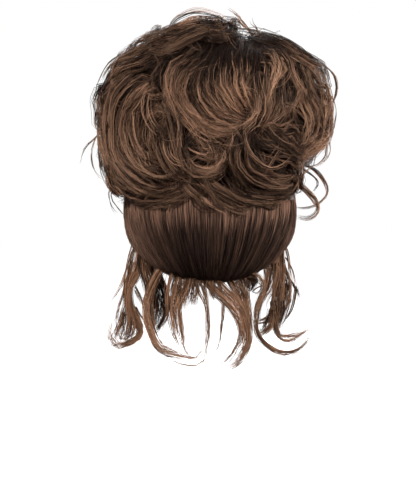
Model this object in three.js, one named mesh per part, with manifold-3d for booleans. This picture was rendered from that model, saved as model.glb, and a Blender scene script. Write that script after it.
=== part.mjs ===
// Updo wig: a net cap with smooth combed hair round its back, sides and front, a crown of loose
// curls over a teased base, ring curls at the right and free wavy locks at the nape.
// Millimetres, +Z up, +Y towards the face, so the back of the wig faces -Y and its right is +X.
// The origin is the inside of the cap at the top of the head.

import * as THREE from 'three';
import { mergeVertices } from 'three/addons/utils/BufferGeometryUtils.js';
import Module from 'manifold-3d';

const wasm = await Module();
wasm.setup();

// Driving dimensions. A size given as back, side and front changes smoothly round the head.
const gap = 0.35; // clearance between neighbouring pieces

const head = {
  halfBreadth: 78,
  halfLength: 98,
  above: 88, // from the widest level up to the top
  below: 82, // and down to the nape
};

const cap = {
  wall: 1.5,
  edge: { back: 145, side: 106, front: 62 }, // degrees from the top of the head
  steps: 5,
  turns: 20,
};

const comb = {
  thickness: { back: 13, side: 14, front: 9 },
  top: { back: 72, side: 55, front: 32 }, // degrees from the top, where it goes under the crown
  lip: { share: 0.16, thickness: 4 }, // rounded lower edge
  clearance: 1.1, // of the flat facets over the cap's net
  steps: 6,
};

const combPanels = [
  { name: 'comb_back', from: -78, to: 78, turns: 14, colour: 0x3a2b26 },
  { name: 'comb_right', from: 78, to: 132, turns: 5, colour: 0x4a372f },
  { name: 'comb_front', from: 132, to: 228, turns: 9, colour: 0x4a372f },
  { name: 'comb_left', from: 228, to: 282, turns: 5, colour: 0x4a372f },
];

const crown = {
  centre: new THREE.Vector3(4, -27, 13),
  halfWidth: 126,
  halfDepth: 104,
  above: 98,
  below: { back: 116, side: 90, front: 42 },
  fullness: { above: 2.8, below: 3.8 }, // exponent of the outline, where 2 is an ellipse
  base: 0.86, // the teased base, as a share of the outline
  layers: [0.9, 0.93, 0.97, 1.13], // middle of each layer of locks, as a share of the outline
  lockDepth: 16, // if a lock's row gives none
  hollowClearance: 1.9, // of the base's facets over the cap's net
  tuck: 0.22, // share of a lock's length over which each end goes down to the base, if its row gives none
};

// Section and taper of the crown's locks, and of the ring curls and free locks
const lockForm = { sides: 5, steps: 6, rootShare: 0.7, tipShare: 0.45 };
const tendrilForm = { sides: 5, steps: 10, rootShare: 0.8, tipShare: 0.25 };
const tendrilRoot = 8; // degrees above the cap's edge, inside the combed hair
const tendrilFlatness = 0.6; // depth of a free lock as a share of its width
const arcSteps = 14; // points along a lock's path

// Each crown lock is an arc as seen from one side of the wig: across and up at both ends, how far
// it bows to the left of the way it runs, its width, and the layer that it lies in.
const views = {
  back: { turn: 0, rise: 0 },
  right: { turn: 90, rise: 0 },
  front: { turn: 180, rise: 0 },
  left: { turn: 270, rise: 0 },
  top: { turn: 0, rise: 90 },
};

const backLocks = [
  { name: 'centre_sweep_outer', from: [-20, 84], to: [45, 17], bow: -52, width: 30, layer: 2 },
  { name: 'centre_sweep_middle', from: [-2, 84], to: [43, 16], bow: -34, width: 28, layer: 2 },
  { name: 'centre_sweep_inner', from: [21, 82], to: [44, 18], bow: -15, width: 28, layer: 1 },
  { name: 'left_coil_outer', from: [-71, 72], to: [-21, -66], bow: -62, width: 32, layer: 2 },
  { name: 'left_coil_middle', from: [-70, 49], to: [-19, -48], bow: -48, width: 30, layer: 2 },
  { name: 'left_coil_inner', from: [-61, 34], to: [-50, -40], bow: -24, width: 28, layer: 1 },
  { name: 'left_coil_eye', from: [-68, 5], to: [-44, 3], bow: 26, width: 14, layer: 2 },
  { name: 'upper_left_sweep_high', from: [6, 104], to: [-90, 84], bow: -8, width: 28, depth: 24, layer: 2 },
  { name: 'upper_left_sweep_low', from: [-12, 92], to: [-84, 66], bow: -6, width: 28, layer: 1 },
  { name: 'left_outer_fall', from: [-76, 78], to: [-120, -24], bow: -18, width: 32, layer: 2 },
  { name: 'lower_centre_roll', from: [-27, -4], to: [14, -4], bow: -42, width: 23, layer: 2 },
  { name: 'right_coil_outer', from: [32, -2], to: [107, -35], bow: -40, width: 26, layer: 2 },
  { name: 'right_coil_inner', from: [46, 0], to: [95, -40], bow: -24, width: 26, layer: 1 },
  { name: 'right_under_sweep', from: [13, -10], to: [86, -66], bow: -28, width: 26, layer: 1 },
  { name: 'right_lobe_low', from: [126, 34], to: [80, -20], bow: 26, width: 34, layer: 2 },
  { name: 'right_lobe_outer', from: [48, 101], to: [130, 4], bow: 36, width: 32, depth: 24, layer: 2 },
  { name: 'right_lobe_inner', from: [62, 84], to: [106, 14], bow: 20, width: 32, layer: 2 },
  { name: 'right_fall_middle', from: [74, 78], to: [62, 8], bow: -6, width: 28, layer: 1 },
  { name: 'bottom_left_roll', from: [-108, -34], to: [-12, -68], bow: -24, width: 28, layer: 1 },
  { name: 'bottom_centre_sweep', from: [-19, -46], to: [52, -84], bow: -8, width: 28, layer: 2 },
  { name: 'bottom_right_roll', from: [26, -58], to: [88, -50], bow: -18, width: 24, layer: 0 },
  { name: 'top_arch', from: [30, 126], to: [-56, 123], bow: -8, width: 7, depth: 7, layer: 3, tuck: 0.5 },
];

// The right side's rows. Across is towards the face there, and the left side mirrors it.
const sideLocks = [
  { name: 'side_curl_upper', from: [34, 86], to: [-38, -14], bow: 44, width: 40, layer: 2 },
  { name: 'side_curl_inner', from: [4, 62], to: [-40, 2], bow: 18, width: 38, layer: 1 },
  { name: 'side_curl_lower', from: [44, 24], to: [-66, -30], bow: 22, width: 34, layer: 0 },
];

const frontLocks = [
  { name: 'front_roll_left', from: [-10, 92], to: [-34, 4], bow: -42, width: 38, layer: 1 },
  { name: 'front_roll_right', from: [14, 92], to: [34, 2], bow: 42, width: 38, layer: 2 },
  { name: 'front_roll_centre', from: [-4, 82], to: [8, 0], bow: -12, width: 38, layer: 0 },
];

const topLocks = [
  { name: 'top_curl_left', from: [-14, -56], to: [-58, 30], bow: -34, width: 42, layer: 0 },
  { name: 'top_curl_right', from: [34, -66], to: [58, 32], bow: 30, width: 42, layer: 0 },
  { name: 'top_curl_centre', from: [-30, 34], to: [34, 30], bow: -52, width: 40, layer: 1 },
];

// Ring curls that stand free of the crown: arcs seen from behind, at one distance from the ears.
const ringlets = [
  { name: 'ringlet_upper', from: [94, -34], to: [92, -82], bow: 32, back: 42, width: 7 },
  { name: 'ringlet_lower', from: [86, -46], to: [96, -92], bow: 24, back: 60, width: 7 },
];

// Free locks, seen from behind: turn of the root round the head, end of the fall, its bow, then a
// hook of a given radius that sweeps to the right (or left, if negative). Back is how far behind
// the ears the lock ends.
const napeLocks = [
  { name: 'nape_left_outer', turn: -84, to: [-84, -198], bow: -9, hook: 15, sweep: -210, back: 44, width: 10 },
  { name: 'nape_left_front', turn: -104, to: [-56, -212], bow: 8, hook: 18, sweep: -70, back: -6, width: 10 },
  { name: 'nape_left_cross', turn: -60, to: [-58, -222], bow: -13, hook: 28, sweep: 135, back: 76, width: 8 },
  { name: 'nape_left_hook', turn: -32, to: [-29, -216], bow: 3, hook: 13, sweep: 150, back: 80, width: 5 },
  { name: 'nape_centre', turn: -8, to: [-6, -228], bow: 4, hook: 12, sweep: -60, back: 80, width: 6 },
  { name: 'nape_right_dark', turn: 4, to: [33, -211], bow: 5, hook: 26, sweep: -115, back: 80, width: 10 },
  { name: 'nape_right_light', turn: 34, to: [42, -222], bow: 2, hook: 24, sweep: -120, back: 84, width: 10 },
  { name: 'nape_right_flick', turn: 46, to: [64, -172], bow: 8, hook: 12, sweep: -40, back: 72, width: 6 },
  { name: 'nape_right_inner', turn: 70, to: [50, -208], bow: -2, hook: 28, sweep: 170, back: 62, width: 9 },
  { name: 'nape_right_middle', turn: 80, to: [71, -205], bow: 4, hook: 16, sweep: 165, back: 44, width: 9 },
  { name: 'nape_right_outer', turn: 88, to: [74, -206], bow: 12, hook: 16, sweep: 60, back: 24, width: 9 },
  { name: 'nape_right_front', turn: 106, to: [60, -200], bow: -8, hook: 18, sweep: 70, back: -8, width: 9 },
];

const finishes = {
  net: { colour: 0x241a17, roughness: 0.9 },
  base: { colour: 0x2b201d, roughness: 0.8 },
  curl: { colour: 0x664d3f, roughness: 0.55 },
  tendril: { colour: 0x725542, roughness: 0.55 },
};

const radians = THREE.MathUtils.degToRad;
const { lerp, smoothstep } = THREE.MathUtils;

function roundTheHead(turn, { back, side, front }) {
  const swing = (back - front) / 2;
  const bulge = (back + front) / 4 - side / 2;
  return side + bulge + swing * Math.cos(turn) + bulge * Math.cos(2 * turn);
}

// A point of the head form, moved out along its normal. Turn is 0 at the back and grows to the right.
function headPoint(turn, polar, lift) {
  const height = polar < Math.PI / 2 ? head.above : head.below;
  const axes = new THREE.Vector3(head.halfBreadth, head.halfLength, height);
  const level = Math.sin(polar);
  const unit = new THREE.Vector3(level * Math.sin(turn), -level * Math.cos(turn), Math.cos(polar));
  const normal = unit.clone().divide(axes).normalize();
  const point = unit.multiply(axes).addScaledVector(normal, lift);
  point.z -= head.above;
  return point;
}

// Moves every vertex of a closed shape to where the rule puts it.
function reshape(geometry, rule) {
  geometry.deleteAttribute('normal');
  geometry.deleteAttribute('uv');
  const spots = geometry.attributes.position;
  for (let i = 0; i < spots.count; i += 1) {
    const moved = rule(new THREE.Vector3().fromBufferAttribute(spots, i));
    spots.setXYZ(i, moved.x, moved.y, moved.z);
  }
  return geometry;
}

function toSolid(geometry) {
  const merged = mergeVertices(geometry, 1e-3);
  const corners = merged.index.array;
  const triangles = [];
  for (let i = 0; i < corners.length; i += 3) {
    const [a, b, c] = corners.slice(i, i + 3);
    if (a !== b && b !== c && c !== a) triangles.push([a, b, c]);
  }
  const vertProperties = merged.attributes.position.array;
  const build = (list) => new wasm.Manifold(new wasm.Mesh({
    numProp: 3,
    vertProperties,
    triVerts: Uint32Array.from(list.flat()),
  }));
  const solid = build(triangles);
  return solid.volume() > 0 ? solid : build(triangles.map(([a, b, c]) => [a, c, b]));
}

function toMesh(name, solid, { colour, roughness }) {
  const { vertProperties, triVerts } = solid.getMesh();
  const geometry = new THREE.BufferGeometry();
  geometry.setAttribute('position', new THREE.BufferAttribute(vertProperties, 3));
  geometry.setIndex(new THREE.BufferAttribute(triVerts, 1));
  geometry.computeVertexNormals();
  const material = new THREE.MeshStandardMaterial({ color: colour, roughness, metalness: 0 });
  const mesh = new THREE.Mesh(geometry, material);
  mesh.name = name;
  return mesh;
}

// Pieces are placed from the cap outwards, and each is cut back from all that lie under it, and
// from a copy of them that is larger by the gap.
const cutters = [];

function boxOf(solid) {
  const { min, max } = solid.boundingBox();
  return new THREE.Box3(new THREE.Vector3(...min), new THREE.Vector3(...max));
}

function place(group, name, finish, make) {
  let body = make(0);
  const box = boxOf(body);
  for (const cutter of cutters) {
    if (cutter.box.intersectsBox(box)) body = body.subtract(cutter.solid);
  }
  const [largest] = body.decompose().sort((a, b) => b.volume() - a.volume());
  for (const solid of [make(gap), largest]) cutters.push({ solid, box: boxOf(solid) });
  group.add(toMesh(name, largest, finish));
}

// The net cap: an open shell on the head form, turned from a profile of its two faces.
function capSolid(grow) {
  const rows = Array.from({ length: cap.steps + 1 }, (_, i) => i / cap.steps);
  const outer = rows.map((share) => new THREE.Vector2(share, 1));
  const inner = rows.map((share) => new THREE.Vector2(share, 0)).reverse();
  const profile = new THREE.LatheGeometry([...outer, ...inner], cap.turns);
  return toSolid(reshape(profile, ({ x, y, z }) => {
    const turn = Math.atan2(x, z);
    const polar = Math.hypot(x, z) * radians(roundTheHead(turn, cap.edge));
    return headPoint(turn, polar, lerp(-grow, cap.wall + grow, y));
  }));
}

// Combed hair: a panel of a thick shell on the cap, with a rounded lower lip.
function combThickness(turn, rise) {
  const full = roundTheHead(turn, comb.thickness);
  const inLip = Math.min(rise / comb.lip.share, 1);
  return lerp(comb.lip.thickness, full, Math.sqrt(1 - (1 - inLip) ** 2));
}

function combSolid({ from, to, turns }, grow) {
  const slack = gap / head.halfLength;
  const sheet = new THREE.BoxGeometry(1, 1, 1, turns, comb.steps, 1);
  const margin = grow / head.halfLength;
  const ends = [radians(from) + slack - 1.5 * margin, radians(to) - slack + 1.5 * margin];
  return toSolid(reshape(sheet, ({ x, y, z }) => {
    const turn = lerp(...ends, x + 0.5);
    const rise = (y + 0.5) ** 1.5; // closer steps at the lip
    const low = radians(roundTheHead(turn, cap.edge)) + margin;
    const high = radians(roundTheHead(turn, comb.top)) - margin;
    const inside = cap.wall + comb.clearance - grow;
    const outside = cap.wall + combThickness(turn, rise) + grow;
    return headPoint(turn, lerp(low, high, rise), z > 0 ? outside : inside);
  }));
}

// Level of a point in the crown: 0 at its centre and 1 on its outline.
function crownLevel(point) {
  const { x, y, z } = point.clone().sub(crown.centre);
  const round = Math.hypot(x / crown.halfWidth, y / crown.halfDepth);
  const upright = z > 0 ? z / crown.above : -z / roundTheHead(Math.atan2(x, -y), crown.below);
  const power = z > 0 ? crown.fullness.above : crown.fullness.below;
  return (round ** power + upright ** power) ** (1 / power);
}

function atLevel(point, level) {
  const away = point.clone().sub(crown.centre);
  return away.multiplyScalar(level / crownLevel(point)).add(crown.centre);
}

function crownBaseSolid(grow) {
  const ball = new THREE.SphereGeometry(1, 16, 10);
  const level = crown.base + grow / crown.halfDepth;
  return toSolid(reshape(ball, (spot) => atLevel(spot.add(crown.centre), level)));
}

function headSolid() {
  const ball = new THREE.SphereGeometry(1, 20, 12);
  return toSolid(reshape(ball, ({ x, y, z }) => (
    headPoint(Math.atan2(x, z), Math.acos(y), cap.wall + crown.hollowClearance)
  )));
}

// Point and direction at a share of an arc between two ends of a plane, bowed to the left of its run.
function arcPoint(from, to, bow, share) {
  const start = new THREE.Vector2(...from);
  const end = new THREE.Vector2(...to);
  const chord = end.clone().sub(start);
  const ahead = chord.clone().normalize();
  const left = new THREE.Vector2(-ahead.y, ahead.x).multiplyScalar(Math.sign(bow));
  const radius = (chord.lengthSq() / 4 + bow * bow) / (2 * Math.abs(bow));
  const half = Math.acos(1 - Math.abs(bow) / radius);
  const angle = half * (1 - 2 * share);
  const point = start.add(end).multiplyScalar(0.5);
  point.addScaledVector(left, Math.abs(bow) - radius + radius * Math.cos(angle));
  point.addScaledVector(ahead, -radius * Math.sin(angle));
  const heading = ahead.multiplyScalar(Math.cos(angle)).addScaledVector(left, Math.sin(angle));
  return { point, heading };
}

// The outermost point of a crown level that lies behind a point of the view's plane, or the nearest
// one to it where the view passes the crown by.
function ontoCrown(view, across, up, level) {
  const turn = radians(view.turn);
  const rise = radians(view.rise);
  const right = new THREE.Vector3(Math.cos(turn), Math.sin(turn), 0);
  const viewer = new THREE.Vector3(Math.sin(turn), -Math.cos(turn), 0);
  viewer.multiplyScalar(Math.cos(rise)).setZ(Math.sin(rise));
  const upward = viewer.clone().cross(right);
  const flat = right.multiplyScalar(across).addScaledVector(upward, up);
  flat.addScaledVector(viewer, crown.centre.dot(viewer));
  const steps = 48;
  const spots = Array.from({ length: steps + 1 }, (_, i) => (
    flat.clone().addScaledVector(viewer, 1.2 * crown.halfWidth * (1 - i / steps))
  ));
  const levels = spots.map(crownLevel);
  const inside = levels.findIndex((value) => value <= level);
  if (inside < 1) return atLevel(spots[levels.indexOf(Math.min(...levels))], level);
  const share = (levels[inside - 1] - level) / (levels[inside - 1] - levels[inside]);
  return spots[inside - 1].lerp(spots[inside], share);
}

function crownOutward(point) {
  const away = point.clone().sub(crown.centre);
  const axes = new THREE.Vector3(crown.halfWidth, crown.halfDepth, crown.above);
  return away.divide(axes).divide(axes).normalize();
}

// A lock: a flattened tube along a curve, narrower at its root and tip.
function lockSolid(curve, outward, width, depth, form, grow) {
  const tube = new THREE.CylinderGeometry(1, 1, 1, form.sides, form.steps);
  return toSolid(reshape(tube, ({ x, y, z }) => {
    const along = y + 0.5;
    const spot = curve.getPointAt(along);
    const ahead = curve.getTangentAt(along);
    const out = outward(spot);
    out.addScaledVector(ahead, -out.dot(ahead)).normalize();
    const side = ahead.clone().cross(out);
    const root = lerp(form.rootShare, 1, smoothstep(along, 0, 0.25));
    const swell = root * lerp(form.tipShare, 1, smoothstep(1 - along, 0, 0.4));
    spot.addScaledVector(side, x * (swell * width / 2 + grow));
    spot.addScaledVector(out, z * (swell * depth / 2 + grow));
    return spot.addScaledVector(ahead, 2 * grow * (Math.abs(y) === 0.5 ? y : 0));
  }));
}

function crownCurve(view, { from, to, bow, layer, tuck = crown.tuck }) {
  const level = crown.layers[layer];
  const spots = Array.from({ length: arcSteps + 1 }, (_, i) => {
    const share = i / arcSteps;
    const { point } = arcPoint(from, to, bow, share);
    const risen = smoothstep(share, 0, tuck) * smoothstep(1 - share, 0, tuck);
    return atLevel(ontoCrown(view, point.x, point.y, level), lerp(crown.base, level, risen));
  });
  return new THREE.CatmullRomCurve3(spots);
}

function crownLockSolid({ view, ...row }, grow) {
  const { width, depth = Math.min(crown.lockDepth, width) } = row;
  return lockSolid(crownCurve(views[view], row), crownOutward, width, depth, lockForm, grow);
}

function ringletSolid({ from, to, bow, back, width }, grow) {
  const spots = Array.from({ length: arcSteps + 1 }, (_, i) => {
    const { point } = arcPoint(from, to, bow, i / arcSteps);
    return new THREE.Vector3(point.x, -back, point.y);
  });
  const towardsBack = () => new THREE.Vector3(0, -1, 0);
  return lockSolid(new THREE.CatmullRomCurve3(spots), towardsBack, width, width, tendrilForm, grow);
}

function napeCurve({ turn, to, bow, hook, sweep, back }) {
  const angle = radians(turn);
  const rootPolar = radians(roundTheHead(angle, cap.edge) - tendrilRoot);
  const root = headPoint(angle, rootPolar, cap.wall + roundTheHead(angle, comb.thickness) / 2);
  const half = arcSteps / 2;
  const flat = [];
  for (let i = 0; i <= half; i += 1) flat.push(arcPoint([root.x, root.z], to, bow, i / half).point);
  const { heading } = arcPoint([root.x, root.z], to, bow, 1);
  const spoke = new THREE.Vector2(heading.y, -heading.x).multiplyScalar(Math.sign(sweep) * hook);
  const middle = new THREE.Vector2(...to).sub(spoke);
  for (let i = 1; i <= half; i += 1) {
    const turned = spoke.clone().rotateAround(new THREE.Vector2(), radians(sweep) * i / half);
    flat.push(turned.add(middle));
  }
  const last = flat.length - 1;
  return new THREE.CatmullRomCurve3(flat.map((point, i) => (
    new THREE.Vector3(point.x, lerp(root.y, -back, smoothstep(i, 0, last)), point.y)
  )));
}

function napeLockSolid(row, grow) {
  const outward = ({ x }) => new THREE.Vector3(x / head.halfBreadth, -1, 0).normalize();
  return lockSolid(napeCurve(row), outward, row.width, row.width * tendrilFlatness, tendrilForm, grow);
}

// Assembly
const wig = new THREE.Group();
const foundation = new THREE.Group();
const combed = new THREE.Group();
const curls = new THREE.Group();
const tendrils = new THREE.Group();
wig.add(foundation, combed, curls, tendrils);

place(foundation, 'cap', finishes.net, capSolid);
for (const panel of combPanels) {
  const finish = { colour: panel.colour, roughness: 0.45 };
  place(combed, panel.name, finish, (grow) => combSolid(panel, grow));
}
place(curls, 'crown_base', finishes.base, (grow) => crownBaseSolid(grow).subtract(headSolid()));

const mirrored = ({ from, to, bow, ...row }) => ({
  ...row,
  from: [-from[0], from[1]],
  to: [-to[0], to[1]],
  bow: -bow,
});
const crownLocks = [
  ...backLocks.map((row) => ({ ...row, view: 'back' })),
  ...sideLocks.map((row) => ({ ...row, name: `${row.name}_right`, view: 'right' })),
  ...sideLocks.map((row) => ({ ...mirrored(row), name: `${row.name}_left`, view: 'left' })),
  ...frontLocks.map((row) => ({ ...row, view: 'front' })),
  ...topLocks.map((row) => ({ ...row, view: 'top' })),
];
crownLocks.sort((a, b) => a.layer - b.layer);
for (const row of crownLocks) {
  place(curls, row.name, finishes.curl, (grow) => crownLockSolid(row, grow));
}
for (const row of ringlets) {
  place(curls, row.name, finishes.curl, (grow) => ringletSolid(row, grow));
}
for (const row of napeLocks) {
  place(tendrils, row.name, finishes.tendril, (grow) => napeLockSolid(row, grow));
}

export default wig;
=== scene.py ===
import math

import bmesh
import bpy
import numpy as np
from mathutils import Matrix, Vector


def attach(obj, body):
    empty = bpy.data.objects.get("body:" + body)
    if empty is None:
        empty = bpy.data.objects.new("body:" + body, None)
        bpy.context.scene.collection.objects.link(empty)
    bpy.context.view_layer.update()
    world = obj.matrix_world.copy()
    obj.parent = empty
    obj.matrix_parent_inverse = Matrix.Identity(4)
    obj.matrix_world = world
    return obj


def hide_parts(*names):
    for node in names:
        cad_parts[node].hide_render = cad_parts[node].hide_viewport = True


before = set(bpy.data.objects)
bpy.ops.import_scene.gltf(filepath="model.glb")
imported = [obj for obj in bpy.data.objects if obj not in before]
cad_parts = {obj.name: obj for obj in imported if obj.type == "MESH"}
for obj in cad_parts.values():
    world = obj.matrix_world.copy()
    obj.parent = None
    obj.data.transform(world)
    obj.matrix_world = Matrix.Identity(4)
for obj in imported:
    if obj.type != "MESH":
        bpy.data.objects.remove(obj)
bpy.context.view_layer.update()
mm = 0.001  # tables are in millimetres unless they say otherwise
uvName = "OFBake"
print("frame loaded:", len(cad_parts), "nodes")


# Camera at the photo's angle, from behind and a little above the combed hair

cameraSetup = {
    "eye": (-2.2, -1700, -60),
    "target": (-2.2, 0, -127),
    "imageHeight": 497,  # pixels
    "pixelSize": 1.1,  # mm at the target
    "sensor": 36,
    "farthest": 20,  # metres
}


def addObject(name, data):
    made = bpy.data.objects.new(name, data)
    bpy.context.scene.collection.objects.link(made)
    return made


def placeAimed(thing, place, aim):
    thing.location = place
    thing.rotation_euler = (Vector(aim) - Vector(place)).to_track_quat("-Z", "Y").to_euler()


def addCamera(setup):
    eye = Vector(setup["eye"]) * mm
    target = Vector(setup["target"]) * mm
    lens = bpy.data.cameras.new("camera")
    lens.sensor_width = setup["sensor"]
    lens.lens = setup["sensor"] * (target - eye).length / (setup["imageHeight"] * setup["pixelSize"] * mm)
    lens.clip_end = setup["farthest"]
    camera = addObject("camera", lens)
    placeAimed(camera, eye, target)
    bpy.context.scene.camera = camera


addCamera(cameraSetup)


# Forms that the hair follows, the same as the frame's. A size given three times is back, side, front.

headForm = {"halfBreadth": 78, "halfLength": 98, "above": 88, "below": 82}
capForm = {"wall": 1.5, "edge": (145, 106, 62)}  # edge in degrees from the top
combForm = {"thickness": (13, 14, 9), "top": (72, 55, 32), "lipShare": 0.16, "lipThickness": 4, "rest": 3}
crownForm = {
    "centre": np.array([4.0, -27.0, 13.0]),
    "halfWidth": 126,
    "halfDepth": 104,
    "above": 98,
    "below": (116, 90, 42),
    "fullness": (2.8, 3.8),  # exponents above and below the middle
    "tuck": 0.22,  # share of a lock's length over which each end comes up from its tucked level
    "tuckLevel": 0.88,
    "highLock": {"from": 1.05, "tuckLevel": 0.95},
}
rightHollow = {  # where it starts across and below, over how much it comes, and how deep it is
    "across": 80, "over": 30, "below": -8, "under": 25, "share": 0.1}
crownViews = {  # degrees round from the back, and up
    "right": (90, 0), "front": (180, 0), "left": (270, 0), "top": (0, 90)}
sightLine = {"reach": (-90, 260), "points": 176, "smallest": 1e-6}
guideForm = {
    "curveSteps": 12,  # from one drawn point to the next
    "steps": (7, 21),  # fewest and most along a guide
    "rootSwell": 0.25,  # shares of the length over which a lock swells
    "tipSwell": 0.4,
}


def smooth(share):
    held = np.clip(share, 0, 1)
    return held * held * (3 - 2 * held)


def mix(low, high, share):
    return low + (high - low) * share


def unit(vectors):
    return vectors / np.linalg.norm(vectors, axis=-1, keepdims=True)


def roundTheHead(turn, size):
    back, side, front = size
    swing = (back - front) / 2
    bulge = (back + front) / 4 - side / 2
    return side + bulge + swing * np.cos(turn) + bulge * np.cos(2 * turn)


# Points of the head form moved out by lift, and the way out there. Turn 0 is the back.
def headPoint(turn, polar, lift):
    turn, polar, lift = np.broadcast_arrays(*map(np.asarray, (turn, polar, lift)))
    height = np.where(polar < math.pi / 2, headForm["above"], headForm["below"])
    breadth = np.full(height.shape, headForm["halfBreadth"])
    length = np.full(height.shape, headForm["halfLength"])
    axes = np.stack([breadth, length, height], axis=-1).astype(float)
    level = np.sin(polar)
    ball = np.stack([level * np.sin(turn), -level * np.cos(turn), np.cos(polar)], axis=-1)
    outward = unit(ball / axes)
    points = ball * axes + outward * lift[..., None]
    points[..., 2] -= headForm["above"]
    return points, outward


def combLift(turn, rise):
    full = roundTheHead(turn, combForm["thickness"])
    inLip = np.minimum(rise / combForm["lipShare"], 1)
    return capForm["wall"] + mix(combForm["lipThickness"], full, np.sqrt(1 - (1 - inLip) ** 2))


# 0 at the middle of the crown, 1 on its outline
def crownLevel(points):
    away = points - crownForm["centre"]
    x, y, z = np.moveaxis(away, -1, 0)
    around = np.hypot(x / crownForm["halfWidth"], y / crownForm["halfDepth"])
    below = roundTheHead(np.arctan2(x, -y), crownForm["below"])
    upright = np.where(z > 0, z / crownForm["above"], -z / below)
    power = np.where(z > 0, *crownForm["fullness"])
    return (around ** power + upright ** power) ** (1 / power)


def atLevel(points, level):
    away = points - crownForm["centre"]
    return crownForm["centre"] + away * (level / crownLevel(points))[..., None]


# Draws points at the lower right in towards the middle, where the ring curls leave the crown open
def drawnIn(points):
    across = smooth((points[..., 0] - rightHollow["across"]) / rightHollow["over"])
    below = smooth((rightHollow["below"] - points[..., 2]) / rightHollow["under"])
    return mix(points, crownForm["centre"], (rightHollow["share"] * across * below)[..., None])


def crownOutward(points):
    axes = np.array([crownForm["halfWidth"], crownForm["halfDepth"], crownForm["above"]])
    return unit((points - crownForm["centre"]) / axes ** 2)


# Points of an arc in a plane that bows to the left of its run
def arcPoints(start, end, bow, shares):
    start, end = np.array(start, float), np.array(end, float)
    chord = end - start
    span = np.hypot(*chord)
    ahead = chord / span
    left = np.array([-ahead[1], ahead[0]]) * np.sign(bow)
    radius = (span ** 2 / 4 + bow ** 2) / (2 * abs(bow))
    half = math.acos(1 - abs(bow) / radius)
    angle = (half * (1 - 2 * shares))[:, None]
    points = (start + end) / 2 + left * (abs(bow) - radius + radius * np.cos(angle))
    return points - ahead * radius * np.sin(angle)


# Below 1 inside the combed hair
def combLevel(points):
    x, y, z = np.moveaxis(points, -1, 0)
    lift = capForm["wall"] + combForm["rest"]
    height = np.where(z > -headForm["above"], headForm["above"], headForm["below"])
    parts = [
        x / (headForm["halfBreadth"] + combForm["thickness"][1] + lift),
        y / (headForm["halfLength"] + combForm["thickness"][0] + lift),
        (z + headForm["above"]) / (height + combForm["thickness"][0] + lift),
    ]
    return np.sqrt(sum(part ** 2 for part in parts))


# Where lines of sight first meet a level of the crown or the combed hair
def ontoLevel(spots, sight, level):
    reach = np.linspace(*sightLine["reach"], sightLine["points"])
    lines = spots[:, None] + reach[:, None] * sight[:, None]
    depth = np.minimum(crownLevel(lines) / np.asarray(level)[:, None], combLevel(lines))
    rows = np.arange(len(spots))
    first = np.argmax(depth <= 1, axis=1)
    before = np.maximum(first - 1, 0)
    near, far = depth[rows, before], depth[rows, first]
    share = (near - 1) / np.maximum(near - far, sightLine["smallest"])
    found = mix(lines[rows, before], lines[rows, first], np.clip(share, 0, 1)[:, None])
    missed = depth.min(axis=1) > 1
    nearest = lines[rows, np.argmin(depth, axis=1)]
    found[missed] = atLevel(nearest[missed], np.asarray(level)[missed])
    return found


# Points of a view's plane, set before the crown, and the way the viewer looks
def fromView(view, flat):
    turn, rise = np.radians(crownViews[view])
    right = np.array([math.cos(turn), math.sin(turn), 0])
    viewer = np.array([math.sin(turn) * math.cos(rise), -math.cos(turn) * math.cos(rise), math.sin(rise)])
    upward = np.cross(viewer, right)
    middle = viewer * (crownForm["centre"] @ viewer + crownForm["halfWidth"])
    spots = flat[:, :1] * right + flat[:, 1:] * upward + middle
    return spots, np.tile(-viewer, (len(flat), 1))


# Points of an upright plane as the camera sees them
def fromCamera(flat, plane):
    spots = np.stack([flat[:, 0], np.full(len(flat), float(plane)), flat[:, 1]], axis=1)
    return spots, unit(spots - np.array(cameraSetup["eye"], float))


# A smooth curve through points
def throughPoints(points):
    points = np.array(points, float)
    padded = np.vstack([2 * points[0] - points[1], points, 2 * points[-1] - points[-2]])
    share = np.linspace(0, 1, guideForm["curveSteps"], endpoint=False)[:, None]
    pieces = []
    for a, b, c, d in zip(padded, padded[1:], padded[2:], padded[3:]):
        bend = (2 * a - 5 * b + 4 * c - d) * share ** 2 + (3 * b - a - 3 * c + d) * share ** 3
        pieces.append(0.5 * (2 * b + (c - a) * share + bend))
    return np.vstack(pieces + [points[-1:]])


def evenly(points, count):
    steps = np.linalg.norm(np.diff(points, axis=0), axis=1)
    travelled = np.concatenate([[0], np.cumsum(steps)])
    wanted = np.linspace(0, travelled[-1], count)
    return np.stack([np.interp(wanted, travelled, column) for column in points.T], axis=1)


def pointsAlong(path, step):
    length = np.linalg.norm(np.diff(path, axis=0), axis=1).sum()
    return int(np.clip(round(length / step), *guideForm["steps"])) + 1


# A guide: the middle of a lock, the way out of it, and its half width and half depth along it
def makeGuide(points, outward, width, depth, rootShare, tipShare, strands, tone, shade):
    along = np.linspace(0, 1, len(points))
    atRoot = mix(rootShare, 1, smooth(along / guideForm["rootSwell"]))
    swell = atRoot * mix(tipShare, 1, smooth((1 - along) / guideForm["tipSwell"]))
    return {
        "points": points,
        "outward": outward,
        "halfWidth": swell * width / 2,
        "halfDepth": swell * depth / 2,
        "strands": strands,
        "tone": tone,
        "shade": shade,
    }


# Shader group for hair: colour and roughness from the way along a strand and the strand's tone. Near the root
# it turns to the root colour, which is a painted sheen on the combed hair, and on the curls dark roots that
# are partly painted shade.

def newGroup(name, kind, sockets):
    tree = bpy.data.node_groups.new(name, kind)
    for direction, label, socketKind in sockets:
        tree.interface.new_socket(label, in_out=direction, socket_type=f"NodeSocket{socketKind}")
    return tree


def setInputs(tree, node, inputs):
    for key, value in inputs.items():
        if isinstance(value, bpy.types.NodeSocket):
            tree.links.new(value, node.inputs[key])
        else:
            node.inputs[key].default_value = value


def addNode(tree, kind, inputs=None, **settings):
    node = tree.nodes.new(kind)
    for key, value in settings.items():
        setattr(node, key, value)
    setInputs(tree, node, inputs or {})
    return node


hairStreaks = {"scale": (5, 70, 1), "detail": 3, "middle": 0.5, "toneShare": 0.9, "roughnessShare": 0.25}


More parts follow.
